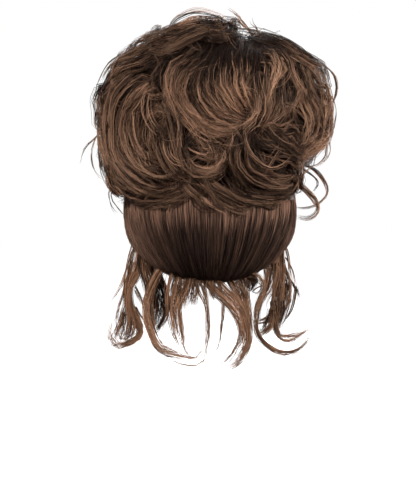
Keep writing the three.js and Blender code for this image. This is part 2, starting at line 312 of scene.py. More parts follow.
def buildHairGroup(streaks):
    numbers = ("Along", "Tone", "Root Hold", "Root Reach", "Base Roughness")
    colours = ("Root Colour", "Low Colour", "High Colour")
    tree = newGroup("hairColour", "ShaderNodeTree", [
        *(("INPUT", label, "Float") for label in numbers),
        *(("INPUT", label, "Color") for label in colours),
        ("OUTPUT", "Colour", "Color"),
        ("OUTPUT", "Roughness", "Float"),
    ])
    given = addNode(tree, "NodeGroupInput").outputs
    place = addNode(tree, "ShaderNodeCombineXYZ", {0: given["Along"], 1: given["Tone"]})
    stretch = addNode(tree, "ShaderNodeMapping", {"Vector": place.outputs[0], "Scale": streaks["scale"]})
    noise = addNode(
        tree, "ShaderNodeTexNoise", {"Vector": stretch.outputs[0], "Scale": 1, "Detail": streaks["detail"]})
    lift = addNode(tree, "ShaderNodeMath", {0: noise.outputs[0], 1: streaks["middle"]}, operation="SUBTRACT")
    toned = addNode(
        tree, "ShaderNodeMath", {0: lift.outputs[0], 1: streaks["toneShare"], 2: given["Tone"]},
        operation="MULTIPLY_ADD", use_clamp=True)
    body = addNode(
        tree, "ShaderNodeMix",
        {0: toned.outputs[0], 6: given["Low Colour"], 7: given["High Colour"]}, data_type="RGBA")
    rise = addNode(
        tree, "ShaderNodeMapRange",
        {"Value": given["Along"], "From Min": given["Root Hold"], "From Max": given["Root Reach"]},
        interpolation_type="SMOOTHSTEP")
    whole = addNode(
        tree, "ShaderNodeMix",
        {0: rise.outputs[0], 6: given["Root Colour"], 7: body.outputs[2]}, data_type="RGBA")
    rough = addNode(
        tree, "ShaderNodeMath",
        {0: lift.outputs[0], 1: streaks["roughnessShare"], 2: given["Base Roughness"]},
        operation="MULTIPLY_ADD")
    addNode(tree, "NodeGroupOutput", {"Colour": whole.outputs[2], "Roughness": rough.outputs[0]})
    return tree


# A colour on the screen as the shader counts it
def linear(red, green, blue):
    parts = [value / 255 for value in (red, green, blue)]
    return [part / 12.92 if part < 0.04045 else ((part + 0.055) / 1.055) ** 2.4 for part in parts] + [1]


hairColoursAndPaintedLight = {  # reach is where the root's colour starts to turn and where it has gone
    # Curls: the dark root colour is partly dark roots and partly painted shade in the gaps and hollows
    # between curls
    "curledHair": {
        "root": (33, 23, 19), "low": (18, 12, 10), "high": (206, 158, 127),
        "reach": (0.19, 0.55), "roughness": 0.36, "shine": 0.22},
    # Combed hair: the light root colour at the top of the band is a painted sheen, and the darker colours
    # below are partly painted shade where the band curves under
    "combedHair": {
        "root": (150, 113, 94), "low": (27, 21, 20), "high": (126, 95, 79),
        "reach": (0.21, 0.355), "roughness": 0.4, "shine": 0.2},
    "tendrilHair": {
        "root": (34, 24, 19), "low": (30, 20, 15), "high": (180, 134, 104),
        "reach": (0.1, 0.3), "roughness": 0.42, "shine": 0.3},
}
shineTint = (224, 190, 168)


def newMaterial(name):
    material = bpy.data.materials.new(name)
    material.use_nodes = True
    shader = material.node_tree.nodes["Principled BSDF"]
    return material, material.node_tree, shader


# Colour between two ends, each a position and a colour
def addRamp(tree, value, ends):
    ramp = addNode(tree, "ShaderNodeValToRGB", {0: value})
    for element, (position, colour) in zip(ramp.color_ramp.elements, ends):
        element.position = position
        element.color = linear(*colour)
    return ramp.outputs[0]


def makeHairMaterial(name, hairColouring, group):
    material, tree, shader = newMaterial(name)
    place = addNode(tree, "ShaderNodeUVMap", uv_map=uvName)
    split = addNode(tree, "ShaderNodeSeparateXYZ", {0: place.outputs[0]})
    colour = addNode(tree, "ShaderNodeGroup", node_tree=group)
    setInputs(tree, colour, {
        "Along": split.outputs[0],
        "Tone": split.outputs[1],
        # painted sheen on the combed hair, dark roots with painted shade on the curls
        "Root Colour": linear(*hairColouring["root"]),
        "Low Colour": linear(*hairColouring["low"]),
        "High Colour": linear(*hairColouring["high"]),
        "Root Hold": hairColouring["reach"][0],
        "Root Reach": hairColouring["reach"][1],
        "Base Roughness": hairColouring["roughness"],
    })
    setInputs(tree, shader, {
        "Base Color": colour.outputs["Colour"],
        "Roughness": colour.outputs["Roughness"],
        "Specular IOR Level": hairColouring["shine"],
        "Specular Tint": linear(*shineTint),
    })
    return material


hairGroup = buildHairGroup(hairStreaks)
materials = {name: makeHairMaterial(name, hairColouring, hairGroup) for name, hairColouring in hairColoursAndPaintedLight.items()}
print("hair materials:", ", ".join(materials))


# Geometry Nodes tree: strands in clumps along each guide, as closed three-sided tubes

strandInputs = [
    ("Clumps", "Int"),
    ("Seed", "Int"),
    ("Thickness", "Float"),
    ("Clump Reach", "Float"),  # of the lock's half width
    ("Root Spread", "Float"),  # of strands round their clump
    ("Tip Spread", "Float"),
    ("Twist", "Float"),  # radians that clumps wind round the lock
    ("Wave", "Float"),
    ("Frizz", "Float"),
    ("Tip Flare", "Float"),  # of clumps away from each other at the tip
    ("Loose Share", "Float"),  # of strands that stray from their clump
    ("Root Trim", "Float"),
    ("Tip Trim", "Float"),
    ("Tone Range", "Float"),  # between the darkest and the lightest strand
]
strandDraws = {  # random draws in the order of their numbers, and what they lie between
    "winding": (-1.0, 1.0),
    "clumpAngle": (0.0, math.tau),
    "clumpReach": (0.0, 1.0),
    "strandAngle": (0.0, math.tau),
    "strandReach": (0.0, 1.0),
    "rootCut": (0.0, 1.0),
    "tipCut": (0.0, 1.0),
    "radius": (0.35, 0.65),  # shares of the thickness
    "clumpTone": (-0.4, 0.4),
    "strandTone": (-0.15, 0.15),
    "loose": (0.0, 1.0),
    "flareAcross": (-1.0, 1.0),
    "flareOut": (-0.5, 0.5),
    "strandRoot": (-0.16, 0.16),
    "clumpRoot": (-0.12, 0.12),
}
strandForm = {
    "firstDraw": 11,
    "clumpNumbers": 64.0,  # kept for each guide
    "apart": 1.37,  # neighbours in the noise
    "wave": {"shift": 3.0, "scale": 24.0},
    "frizz": {"shift": 7.0, "scale": 38.0},
    "noiseMiddle": (0.5, 0.5, 0.5),
    "noiseSpan": 2.0,
    "rootFrizz": 0.3,  # share at the root and what the tip adds to it
    "tipFrizz": 0.7,
    "looseFrizz": 2.5,  # what a loose strand adds
    "looseSpread": 1.2,
    "flarePower": 3.0,
    "tipCutPower": 2.0,
    "taperPower": 4.0,
    "taperShare": 0.8,
    "sides": 3,
    "leastAlong": 0.05,
    "alongPlace": (0.96, 0.02),  # size and start on the colour's map
    "tonePlace": (0.92, 0.03),
    "sidePlace": 0.01,  # from one side of a strand to the next
}


def buildStrandTree(form):
    sockets = [("INPUT", "Geometry", "Geometry")]
    sockets += [("INPUT", label, kind) for label, kind in strandInputs]
    sockets += [("INPUT", "Material", "Material"), ("OUTPUT", "Geometry", "Geometry")]
    tree = newGroup("strandsAlongGuides", "GeometryNodeTree", sockets)
    given = addNode(tree, "NodeGroupInput").outputs

    def maths(operation, first, second=0.0, third=0.0):
        inputs = {0: first, 1: second, 2: third}
        return addNode(tree, "ShaderNodeMath", inputs, operation=operation).outputs[0]

    def vectors(operation, first, second=(0, 0, 0)):
        return addNode(tree, "ShaderNodeVectorMath", {0: first, 1: second}, operation=operation).outputs[0]

    def scaled(vector, factor):
        inputs = {0: vector, "Scale": factor}
        return addNode(tree, "ShaderNodeVectorMath", inputs, operation="SCALE").outputs[0]

    def ranged(value, low, high):
        return addNode(tree, "ShaderNodeMapRange", {"Value": value, "To Min": low, "To Max": high}).outputs[0]

    def read(name, kind="FLOAT"):
        return addNode(tree, "GeometryNodeInputNamedAttribute", {"Name": name}, data_type=kind).outputs[0]

    def write(geometry, name, value, domain, kind="FLOAT"):
        inputs = {"Geometry": geometry, "Name": name, "Value": value}
        node = addNode(tree, "GeometryNodeStoreNamedAttribute", inputs, data_type=kind, domain=domain)
        return node.outputs[0]

    def chance(owner, draw):
        low, high = strandDraws[draw]
        seed = maths("ADD", given["Seed"], float(form["firstDraw"] + list(strandDraws).index(draw)))
        inputs = {2: low, 3: high, "ID": owner, "Seed": seed}
        return addNode(tree, "FunctionNodeRandomValue", inputs, data_type="FLOAT").outputs[1]

    def wander(owner, noise, size):
        place = maths("MULTIPLY_ADD", owner, form["apart"], noise["shift"])
        inputs = {"W": place, "Scale": noise["scale"], "Detail": 1}
        colour = addNode(tree, "ShaderNodeTexNoise", inputs, noise_dimensions="4D").outputs["Color"]
        return scaled(vectors("SUBTRACT", colour, form["noiseMiddle"]), size)

    curves = addNode(tree, "GeometryNodeMeshToCurve", {0: given["Geometry"]})
    copies = addNode(
        tree, "GeometryNodeDuplicateElements",
        {"Geometry": curves.outputs[0], "Amount": read("strands", "INT")}, domain="SPLINE")
    number = addNode(tree, "GeometryNodeInputIndex").outputs[0]
    inClump = maths("MODULO", copies.outputs["Duplicate Index"], given["Clumps"])
    clumpNumber = maths("MULTIPLY_ADD", read("guide"), form["clumpNumbers"], inClump)
    grown = write(copies.outputs[0], "strand", number, "CURVE")
    grown = write(grown, "clump", clumpNumber, "CURVE")
    strand, clump = read("strand"), read("clump")

    # Place in the lock's section: the clump's own, then the strand's round it
    along = addNode(tree, "GeometryNodeSplineParameter").outputs["Factor"]
    winding = maths("MULTIPLY", chance(clump, "winding"), given["Twist"])
    clumpAngle = maths("MULTIPLY_ADD", winding, along, chance(clump, "clumpAngle"))
    clumpReach = maths("MULTIPLY", maths("SQRT", chance(clump, "clumpReach")), given["Clump Reach"])
    strandAngle = chance(strand, "strandAngle")
    loose = maths("LESS_THAN", chance(strand, "loose"), given["Loose Share"])
    stray = maths("MULTIPLY_ADD", loose, form["looseSpread"], 1.0)
    spread = maths("MULTIPLY", ranged(along, given["Root Spread"], given["Tip Spread"]), stray)
    strandReach = maths("MULTIPLY", maths("SQRT", chance(strand, "strandReach")), spread)

    def inSection(kind):
        own = maths("MULTIPLY", maths(kind, strandAngle), strandReach)
        return maths("MULTIPLY_ADD", maths(kind, clumpAngle), clumpReach, own)

    outward = read("outward", "FLOAT_VECTOR")
    ahead = addNode(tree, "GeometryNodeInputTangent").outputs[0]
    sideways = vectors("NORMALIZE", vectors("CROSS_PRODUCT", ahead, outward))
    across = scaled(sideways, maths("MULTIPLY", inSection("COSINE"), read("halfWidth")))
    upright = scaled(outward, maths("MULTIPLY", inSection("SINE"), read("halfDepth")))
    growing = maths("MULTIPLY_ADD", along, form["tipFrizz"], form["rootFrizz"])
    freedom = maths("MULTIPLY", growing, maths("MULTIPLY_ADD", loose, form["looseFrizz"], 1.0))
    frizz = maths("MULTIPLY", given["Frizz"], maths("MULTIPLY", freedom, form["noiseSpan"]))
    frizzed = wander(strand, form["frizz"], frizz)
    waved = wander(clump, form["wave"], maths("MULTIPLY", given["Wave"], form["noiseSpan"]))
    flare = maths("MULTIPLY", maths("POWER", along, form["flarePower"]), given["Tip Flare"])
    flared = vectors(
        "ADD", scaled(sideways, maths("MULTIPLY", flare, chance(clump, "flareAcross"))),
        scaled(outward, maths("MULTIPLY", flare, chance(clump, "flareOut"))))
    strayed = vectors("ADD", flared, vectors("ADD", waved, frizzed))
    offset = vectors("ADD", vectors("ADD", across, upright), strayed)
    placed = addNode(tree, "GeometryNodeSetPosition", {"Geometry": grown, "Offset": offset})

    # Tubes, cut at both ends and thinner towards the tip
    rootCut = maths("MULTIPLY", chance(strand, "rootCut"), given["Root Trim"])
    tipCut = maths("POWER", chance(strand, "tipCut"), form["tipCutPower"])
    tipCut = maths("MULTIPLY", tipCut, given["Tip Trim"])
    trimmed = addNode(
        tree, "GeometryNodeTrimCurve",
        {"Curve": placed.outputs[0], "Start": rootCut, "End": maths("SUBTRACT", 1.0, tipCut)}, mode="FACTOR")
    marked = write(trimmed.outputs[0], "along", along, "POINT")
    thinned = maths("MULTIPLY", maths("POWER", along, form["taperPower"]), form["taperShare"])
    radius = maths("MULTIPLY", given["Thickness"], chance(strand, "radius"))
    radius = maths("MULTIPLY", radius, maths("SUBTRACT", 1.0, thinned))
    ring = addNode(tree, "GeometryNodeCurvePrimitiveCircle", {"Resolution": form["sides"], "Radius": 1.0})
    rimmed = write(ring.outputs[0], "around", number, "POINT")
    tubes = addNode(
        tree, "GeometryNodeCurveToMesh",
        {"Curve": marked, "Profile Curve": rimmed, "Scale": radius, "Fill Caps": True})

    # Colour place: along the strand from its root, and its own tone
    share = maths("ADD", chance(clump, "clumpTone"), chance(strand, "strandTone"))
    tone = maths("MULTIPLY_ADD", share, given["Tone Range"], read("tone"))
    held = addNode(tree, "ShaderNodeClamp", {"Value": tone}).outputs[0]
    rootShift = maths("ADD", chance(strand, "strandRoot"), chance(clump, "clumpRoot"))
    fromRoot = ranged(read("along"), maths("ADD", read("shade"), rootShift), 1.0)
    shown = maths("MAXIMUM", fromRoot, maths("MULTIPLY", read("along"), form["leastAlong"]))
    alongPlace = maths("MULTIPLY_ADD", shown, *form["alongPlace"])
    tonePlace = maths("MULTIPLY_ADD", held, *form["tonePlace"])
    sidePlace = maths("MULTIPLY_ADD", read("around"), form["sidePlace"], tonePlace)
    place = addNode(tree, "ShaderNodeCombineXYZ", {0: alongPlace, 1: sidePlace}).outputs[0]
    mapped = write(tubes.outputs[0], uvName, place, "CORNER", "FLOAT2")
    softened = addNode(tree, "GeometryNodeSetShadeSmooth", {"Geometry": mapped})
    dressed = addNode(
        tree, "GeometryNodeSetMaterial", {"Geometry": softened.outputs[0], "Material": given["Material"]})
    addNode(tree, "NodeGroupOutput", {0: dressed.outputs[0]})
    return tree


strandTree = buildStrandTree(strandForm)
strandSockets = {
    item.name: item.identifier for item in strandTree.interface.items_tree if item.in_out == "INPUT"}
print("strand tree:", len(strandTree.nodes), "nodes")


def guideObject(name, guides):
    counts = [len(guide["points"]) for guide in guides]
    starts = np.cumsum([0] + counts)
    edges = [(i, i + 1) for low, high in zip(starts, starts[1:]) for i in range(low, high - 1)]

    def joined(key):
        return np.concatenate([guide[key] for guide in guides])

    def repeated(key):
        return np.repeat([guide[key] for guide in guides], counts)

    mesh = bpy.data.meshes.new(name)
    mesh.from_pydata((joined("points") * mm).tolist(), edges, [])
    columns = {
        "outward": ("FLOAT_VECTOR", "vector", joined("outward")),
        "halfWidth": ("FLOAT", "value", joined("halfWidth") * mm),
        "halfDepth": ("FLOAT", "value", joined("halfDepth") * mm),
        "guide": ("FLOAT", "value", np.repeat(np.arange(len(guides)), counts)),
        "strands": ("INT", "value", repeated("strands")),
        "tone": ("FLOAT", "value", repeated("tone")),
        "shade": ("FLOAT", "value", repeated("shade")),
    }
    for label, (kind, field, values) in columns.items():
        exact = values.astype(np.int32 if kind == "INT" else np.float32)
        mesh.attributes.new(label, kind, "POINT").data.foreach_set(field, exact.ravel())
    return addObject(name, mesh)


# Gives a piece the mesh that its modifiers make
def bakeModifiers(piece):
    depsgraph = bpy.context.evaluated_depsgraph_get()
    mesh = bpy.data.meshes.new_from_object(
        piece.evaluated_get(depsgraph), preserve_all_data_layers=True, depsgraph=depsgraph)
    source = piece.data
    piece.modifiers.clear()
    piece.data = mesh
    bpy.data.meshes.remove(source)
    mesh.name = piece.name
    return mesh


triangleCount = {}
seedStep = 100  # from one piece's strands to the next's
guideMarks = (
    "outward", "halfWidth", "halfDepth", "guide", "strands", "tone", "shade",
    "strand", "clump", "along", "around")


def growStrands(name, guides, settings, material):
    piece = guideObject(name, guides)
    modifier = piece.modifiers.new("strands", "NODES")
    modifier.node_group = strandTree
    for label, value in settings.items():
        modifier[strandSockets[label]] = value
    modifier[strandSockets["Material"]] = material
    mesh = bakeModifiers(piece)
    for label in guideMarks:
        if label in mesh.attributes:
            mesh.attributes.remove(mesh.attributes[label])
    return piece


def finishPiece(piece, nodes=()):
    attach(piece, "root")
    if nodes:
        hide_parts(*nodes)
    piece.data.calc_loop_triangles()
    triangleCount[piece.name] = len(piece.data.loop_triangles)
    return piece


# Crown curls. The back's are drawn through points across and up as the camera sees them: level, width, tone
# from dark to light, points. The other sides' are arcs: both ends, bow to the left of the run, width, level.

crownCurls = {
    "plane": -110,  # of the points at the back
    "seeds": {"stray": 7, "slide": 23},
    "strandsPerMm": 2.6,
    "step": 12,  # mm between a guide's points
    "depth": 11,
    "rootShare": 0.85,
    "tipShare": 0.5,
    "slide": (-10, 24),  # towards the front, of hair on the back's outline
    "strayed": {  # the second guide of each row
        "by": 4.5, "lower": 0.02, "wider": 1.2, "darker": 0.06, "slide": (-6, 46)},
    "settle": 0.5,  # share by which slid hair comes back to its level
    "outlineFacing": 0.5,
    "toneShare": 0.72,  # of the tones below
    "strongTones": {"starts": "centre_sweep", "range": 1.6},
    "tangled": {
        "nodes": ("left_coil_eye", "left_coil_inner"),
        "strands": {"Frizz": 3.2 * mm, "Loose Share": 0.35},
    },
    # Lower values give a longer dark root zone: partly dark roots, partly painted shade in the gaps and
    # hollows between curls
    "shades": {  # start of a name: where its root lies on the colour's way along
        "centre_sweep_inner": -1.0, "centre_sweep_middle": -0.6, "centre_sweep_outer": -0.27,
        "right_lobe_low": 0.5, "right_lobe_inner": -0.75, "right_lobe": -0.3, "right_fall": -0.5,
        "upper_left": -0.15, "left_outer": 0.0, "left_coil_eye": 0.42, "left_coil": 0.34,
        "right_coil": 0.24, "right_under": 0.3, "lower_centre": -0.1,
        "": 0.42,  # any other
    },
    "strands": {
        "Clumps": 7, "Thickness": 0.48 * mm, "Clump Reach": 0.85, "Root Spread": 0.34, "Tip Spread": 0.18,
        "Twist": 1.8, "Wave": 4.5 * mm, "Frizz": 1.8 * mm, "Root Trim": 0.12, "Tip Trim": 0.4,
        "Tip Flare": 8 * mm, "Loose Share": 0.18, "Tone Range": 1.05,
    },
}
otherCurls = {  # at the sides, front and top
    "guides": 6,
    "arcPoints": 60,
    "stray": {"first": 0.1, "rest": 9},
    "bows": (0.75, 1.2),
    "lower": 0.01,  # from one guide to the next
    "width": 0.85,
    "strandsPerMm": 0.65,
    "thickness": 0.62 * mm,
    "tone": 0.32,
    "shades": {"right": 0.42, "left": 0.42, "front": 0.42, "top": 0.2},
}

backCurls = {
    "centre_sweep_outer": [
        (0.99, 16, 1.0, [(8, 96), (-8, 86), (-24, 75), (-35, 63), (-39, 51), (-38, 35), (-31, 22), (-21, 7),
            (-5, -4), (12, -7), (29, -2)]),
        (0.98, 20, 0.88, [(12, 94), (-2, 79), (-16, 67), (-30, 55), (-35, 38), (-28, 22), (-12, 6), (5, -2),
            (23, -2), (37, 7)]),
    ],
    "centre_sweep_middle": [
        (0.98, 18, 0.38, [(16, 92), (2, 77), (-10, 65), (-17, 51), (-22, 35), (-15, 18), (-2, 5), (14, 1),
            (31, 5), (43, 15)]),
        (0.98, 18, 0.42, [(21, 90), (6, 77), (-4, 65), (-9, 51), (-8, 35), (-1, 22), (11, 11), (27, 8),
            (40, 13)]),
        (0.98, 18, 0.6, [(23, 90), (10, 75), (3, 61), (1, 45), (5, 32), (14, 20), (27, 12), (38, 11)]),
    ],
    "centre_sweep_inner": [
        # light tones here are partly lighter strands and partly a painted highlight where the sweep curves
        (0.97, 18, 0.84, [(27, 90), (16, 73), (12, 59), (11, 42), (18, 28), (28, 18), (40, 13)]),
        (0.97, 18, 0.95, [(31, 88), (25, 73), (24, 59), (24, 42), (30, 29), (39, 19)]),
        (0.97, 18, 0.8, [(37, 88), (34, 73), (33, 57), (34, 40), (39, 27), (45, 19)]),
        (0.99, 14, 0.6, [(41, 86), (43, 69), (44, 51), (46, 33), (47, 18), (43, 9), (35, 2), (29, -5)]),
    ],
    "left_coil_outer": [
        (0.97, 22, 0.33, [(-67, 65), (-82, 56), (-95, 43), (-102, 28), (-104, 11), (-104, -6), (-103, -22),
            (-97, -37), (-87, -50), (-72, -61), (-54, -67), (-39, -66)]),
    ],
    "left_coil_middle": [
        # light lock as a painted highlight on the left coil's upper left
        (0.985, 6, 0.8, [(-58, 52), (-64, 46), (-71, 39), (-78, 31), (-84, 22)]),
        # dark thin locks laid as painted shade in the gaps between strands at the lower left
        (0.985, 5, 0.0, [(-98, -28), (-90, -42), (-78, -53), (-63, -60)]),
        (0.985, 5, 0.0, [(-92, -12), (-86, -28), (-74, -42), (-60, -50)]),
        (0.98, 5, 0.0, [(-84, -30), (-72, -42), (-58, -49), (-44, -53)]),
        (0.97, 20, 0.31, [(-64, 53), (-75, 46), (-88, 33), (-95, 18), (-97, 1), (-96, -16), (-91, -30),
            (-80, -42), (-66, -53), (-52, -59), (-36, -60)]),
        (0.96, 18, 0.39, [(-62, 44), (-70, 40), (-78, 28), (-87, 15), (-89, -1), (-86, -18), (-77, -34),
            (-65, -44), (-49, -50), (-33, -52)]),
    ],
    "left_coil_inner": [
        (0.95, 14, 0.2, [(-62, 8), (-64, -6), (-63, -18), (-58, -30), (-50, -40)]),
        (0.95, 18, 0.5, [(-62, 46), (-69, 38), (-75, 29), (-81, 17), (-82, 1), (-79, -14), (-71, -29),
            (-60, -38), (-48, -42)]),
        (0.93, 16, 0.25, [(-57, 35), (-66, 26), (-72, 14), (-74, -1), (-71, -16), (-64, -29), (-54, -35)]),
        (0.94, 18, 0.32, [(-51, 35), (-41, 22), (-37, 9), (-36, -6), (-37, -22), (-35, -34), (-29, -42)]),
        (0.94, 16, 0.25, [(-51, -3), (-48, -22), (-43, -34), (-36, -44), (-24, -49), (-10, -50)]),
    ],
    "left_coil_eye": [
        (0.93, 12, 0.5, [(-69, -3), (-66, 11), (-60, 20), (-50, 22), (-43, 17), (-42, 7), (-48, 2),
            (-59, 3)]),
        (0.92, 10, 0.5, [(-62, 7), (-57, 16), (-48, 18), (-44, 11), (-48, 5)]),
        (0.92, 12, 0.25, [(-66, -11), (-62, -1), (-54, 2), (-46, -3), (-44, -13), (-47, -24)]),
    ],
    "upper_left_sweep_high": [
        (1.02, 12, 0.15, [(-40, 99), (-56, 93), (-70, 87), (-84, 80), (-94, 72)]),
        (1.05, 18, 0.38, [(14, 110), (-5, 110), (-23, 105), (-41, 99), (-57, 92), (-72, 85), (-85, 77)]),
        (1.08, 12, 0.35, [(24, 108), (12, 113), (-2, 114), (-16, 111), (-30, 105), (-42, 98)]),
        (1.06, 12, 0.25, [(30, 104), (22, 110), (10, 108), (0, 102)]),
        (1.04, 24, 0.5, [(26, 102), (10, 108), (-8, 108), (-26, 103), (-44, 96), (-60, 88)]),
        (1.02, 26, 0.45, [(26, 97), (8, 102), (-12, 102), (-30, 98), (-48, 91), (-64, 83)]),
        (0.99, 24, 0.36, [(28, 92), (10, 98), (-10, 98), (-28, 94), (-44, 88)]),
    ],
    "upper_left_sweep_low": [
        (0.96, 18, 0.46, [(-5, 90), (-21, 88), (-33, 86), (-48, 83), (-62, 77), (-72, 72), (-85, 65),
            (-98, 54), (-107, 40), (-112, 26), (-113, 11)]),
        # dark lock laid as painted shade in the gap between the left coil and the centre sweep
        (0.98, 11, 0.0, [(-42, 76), (-50, 67), (-56, 57), (-58, 48), (-57, 40), (-53, 32)]),
        (0.94, 16, 0.15, [(-10, 84), (-23, 80), (-39, 77), (-54, 74), (-64, 71), (-77, 67)]),
    ],
    "left_outer_fall": [
        (1.02, 9, 0.3, [(-109, 52), (-116, 37), (-120, 21), (-121, 5), (-119, -10)]),
        (0.97, 18, 0.43, [(0, 100), (-21, 96), (-39, 94), (-54, 89), (-65, 83), (-77, 76), (-89, 71),
            (-101, 63), (-109, 51), (-115, 35)]),
        (0.96, 22, 0.58, [(-77, 69), (-91, 61), (-103, 49), (-110, 33), (-112, 18), (-111, -1), (-109, -16),
            (-106, -32), (-101, -47), (-95, -60)]),
    ],
    "lower_centre_roll": [
        (0.97, 16, 0.42, [(-46, 42), (-39, 28), (-34, 15), (-31, 1), (-30, -13), (-28, -27), (-24, -38),
            (-15, -44), (-4, -45), (7, -41), (14, -32), (16, -19)]),
        (0.98, 14, 0.56, [(-29, 1), (-28, -17), (-25, -30), (-19, -40), (-7, -45), (4, -42), (12, -34),
            (14, -22), (14, -10)]),
        (0.95, 14, 0.5, [(-27, -5), (-21, -14), (-12, -21), (-3, -25), (4, -19)]),
        (0.94, 12, 0.4, [(-10, -9), (-2, -14), (4, -24), (4, -35), (-4, -41)]),
    ],
    "right_coil_outer": [
        (0.97, 18, 0.05, [(35, -3), (29, -16), (27, -30), (32, -40), (41, -49), (54, -55), (70, -57),
            (84, -54), (95, -50)]),
        (0.95, 16, 0.34, [(54, 2), (62, -8), (72, -18), (84, -27), (96, -34), (99, -42)]),
        (0.95, 14, 0.38, [(60, 3), (73, -10), (82, -18), (93, -25), (105, -25)]),
    ],
    "right_coil_inner": [
        (0.96, 16, 0.05, [(41, 1), (38, -11), (37, -24), (40, -34), (47, -44), (58, -51), (72, -53)]),
        (0.94, 14, 0.06, [(43, -5), (44, -21), (47, -32), (55, -42), (65, -49), (77, -48)]),
        (0.95, 16, 0.08, [(41, -3), (47, -14), (57, -21), (72, -27), (84, -30), (97, -30)]),
    ],
    "right_under_sweep": [
        (0.96, 12, 0.6, [(84, -36), (94, -44), (99, -53), (98, -61), (90, -68)]),
        (0.96, 12, 0.45, [(78, -44), (90, -50), (97, -57), (96, -65), (86, -71)]),
        (0.94, 16, 0.28, [(31, -1), (23, -11), (20, -24), (22, -36), (29, -48), (38, -58), (49, -63)]),
        (0.94, 16, 0.16, [(12, -40), (19, -52), (29, -62), (43, -68), (62, -70), (80, -67), (90, -62)]),
    ],
    "right_lobe_low": [
        (0.96, 20, 0.62, [(98, 38), (107, 28), (113, 15), (113, -1), (107, -14), (98, -21), (85, -24)]),
        (0.98, 18, 0.82, [(118, 62), (127, 46), (130, 28), (128, 8), (121, -9), (112, -18), (101, -25)]),
        (0.97, 18, 0.78, [(113, 38), (118, 22), (119, 5), (114, -9), (105, -18)]),
        (0.99, 12, 0.85, [(122, 50), (122, 36), (121, 22), (119, 8), (114, -6)]),
        (0.94, 16, 0.55, [(93, 35), (99, 22), (103, 9), (101, -4), (95, -13)]),
        (0.94, 7, 0.42, [(49, 3), (60, 5), (72, 2), (82, 5), (90, 10)]),
        (0.93, 10, 0.35, [(75, 5), (84, 2), (91, -6), (90, -16), (83, -22), (75, -19)]),
        (0.97, 10, 0.55, [(114, -4), (113, -18), (111, -31), (105, -43)]),
        # lightest tones as painted light where light shows through the lobe's edge
        (0.97, 16, 1.0, [(127, 10), (122, -8), (112, -22), (104, -32), (97, -40)]),
        (0.96, 16, 1.0, [(118, 6), (112, -12), (105, -26), (98, -38), (90, -48)]),
    ],
    "right_lobe_outer": [
        (0.97, 8, 0.1, [(37, 96), (45, 98), (54, 99), (64, 97), (74, 92)]),
        (1.02, 8, 0.25, [(84, 85), (104, 74), (119, 64), (127, 54), (131, 43), (131, 32)]),
        (1.0, 16, 0.25, [(37, 92), (54, 94), (70, 90), (80, 85), (91, 75), (105, 67), (118, 59), (125, 49),
            (128, 38)]),
        (0.99, 18, 0.3, [(41, 92), (60, 92), (77, 85), (93, 73), (107, 64), (116, 54), (121, 42),
            (119, 30)]),
        (0.97, 18, 0.3, [(54, 88), (72, 81), (90, 71), (102, 61), (110, 49), (112, 36)]),
    ],
    "right_lobe_inner": [
        (0.97, 18, 0.5, [(54, 90), (70, 81), (80, 69), (84, 56), (91, 43), (96, 32), (97, 20)]),
        (0.96, 18, 0.15, [(67, 86), (84, 74), (96, 61), (102, 46), (104, 33), (99, 22)]),
        (0.94, 16, 0.55, [(77, 73), (87, 59), (90, 44), (87, 32), (82, 20), (83, 9)]),
    ],
    "right_fall_middle": [
        (0.97, 16, 0.52, [(43, 90), (58, 83), (67, 73), (69, 63), (66, 49), (62, 35), (59, 22), (54, 11)]),
        (0.95, 18, 0.52, [(49, 86), (64, 76), (73, 63), (76, 49), (76, 33), (77, 18)]),
        (0.95, 16, 0.55, [(43, 81), (55, 69), (59, 57), (57, 42), (53, 30), (49, 18)]),
        (0.96, 14, 0.5, [(47, 84), (54, 67), (54, 49), (56, 30), (56, 18), (49, 7)]),
        (0.95, 14, 0.3, [(66, 66), (70, 50), (70, 34), (66, 19), (58, 6), (50, -2)]),
        (0.94, 14, 0.12, [(75, 60), (78, 44), (77, 28), (71, 14), (62, 4), (52, -3)]),
    ],
    "bottom_left_roll": [
        (0.98, 10, 0.65, [(-108, -40), (-106, -52), (-101, -62), (-94, -70), (-88, -74)]),
        (0.95, 18, 0.4, [(-107, -37), (-100, -50), (-89, -62), (-75, -70), (-60, -73), (-43, -72),
            (-27, -67)]),
        (0.93, 16, 0.36, [(-95, -40), (-82, -54), (-67, -64), (-49, -67), (-33, -63), (-21, -57)]),
        (0.98, 12, 0.6, [(-113, 12), (-112, -8), (-110, -28), (-107, -45), (-101, -59), (-92, -69),
            (-80, -76), (-66, -80)]),
        (1.02, 6, 0.55, [(-104, -44), (-105, -52), (-103, -60), (-98, -65), (-91, -68)]),
        (0.93, 12, 0.08, [(-62, -70), (-48, -68), (-36, -62), (-26, -54)]),
        (0.93, 12, 0.1, [(-50, -76), (-36, -73), (-24, -66), (-12, -58)]),
        (0.91, 12, 0.35, [(-103, -52), (-93, -63), (-79, -71), (-62, -76), (-41, -77), (-21, -75)]),
    ],
    "bottom_centre_sweep": [
        (0.95, 16, 0.24, [(-23, -48), (-12, -54), (0, -64), (12, -73), (25, -81), (37, -88)]),
        (0.95, 16, 0.52, [(-5, -50), (8, -61), (21, -69), (36, -76), (54, -79), (70, -79)]),
        (0.94, 14, 0.28, [(-29, -52), (-21, -63), (-8, -73), (5, -81), (19, -86)]),
    ],
    "bottom_right_roll": [
        (0.93, 12, 0.25, [(23, -69), (37, -76), (51, -78), (64, -74), (72, -69)]),
        (0.92, 14, 0.12, [(31, -61), (46, -69), (62, -72), (77, -70), (87, -65)]),
        (0.96, 9, 0.1, [(58, -68), (72, -69), (84, -65), (91, -58), (95, -50)]),
    ],
}
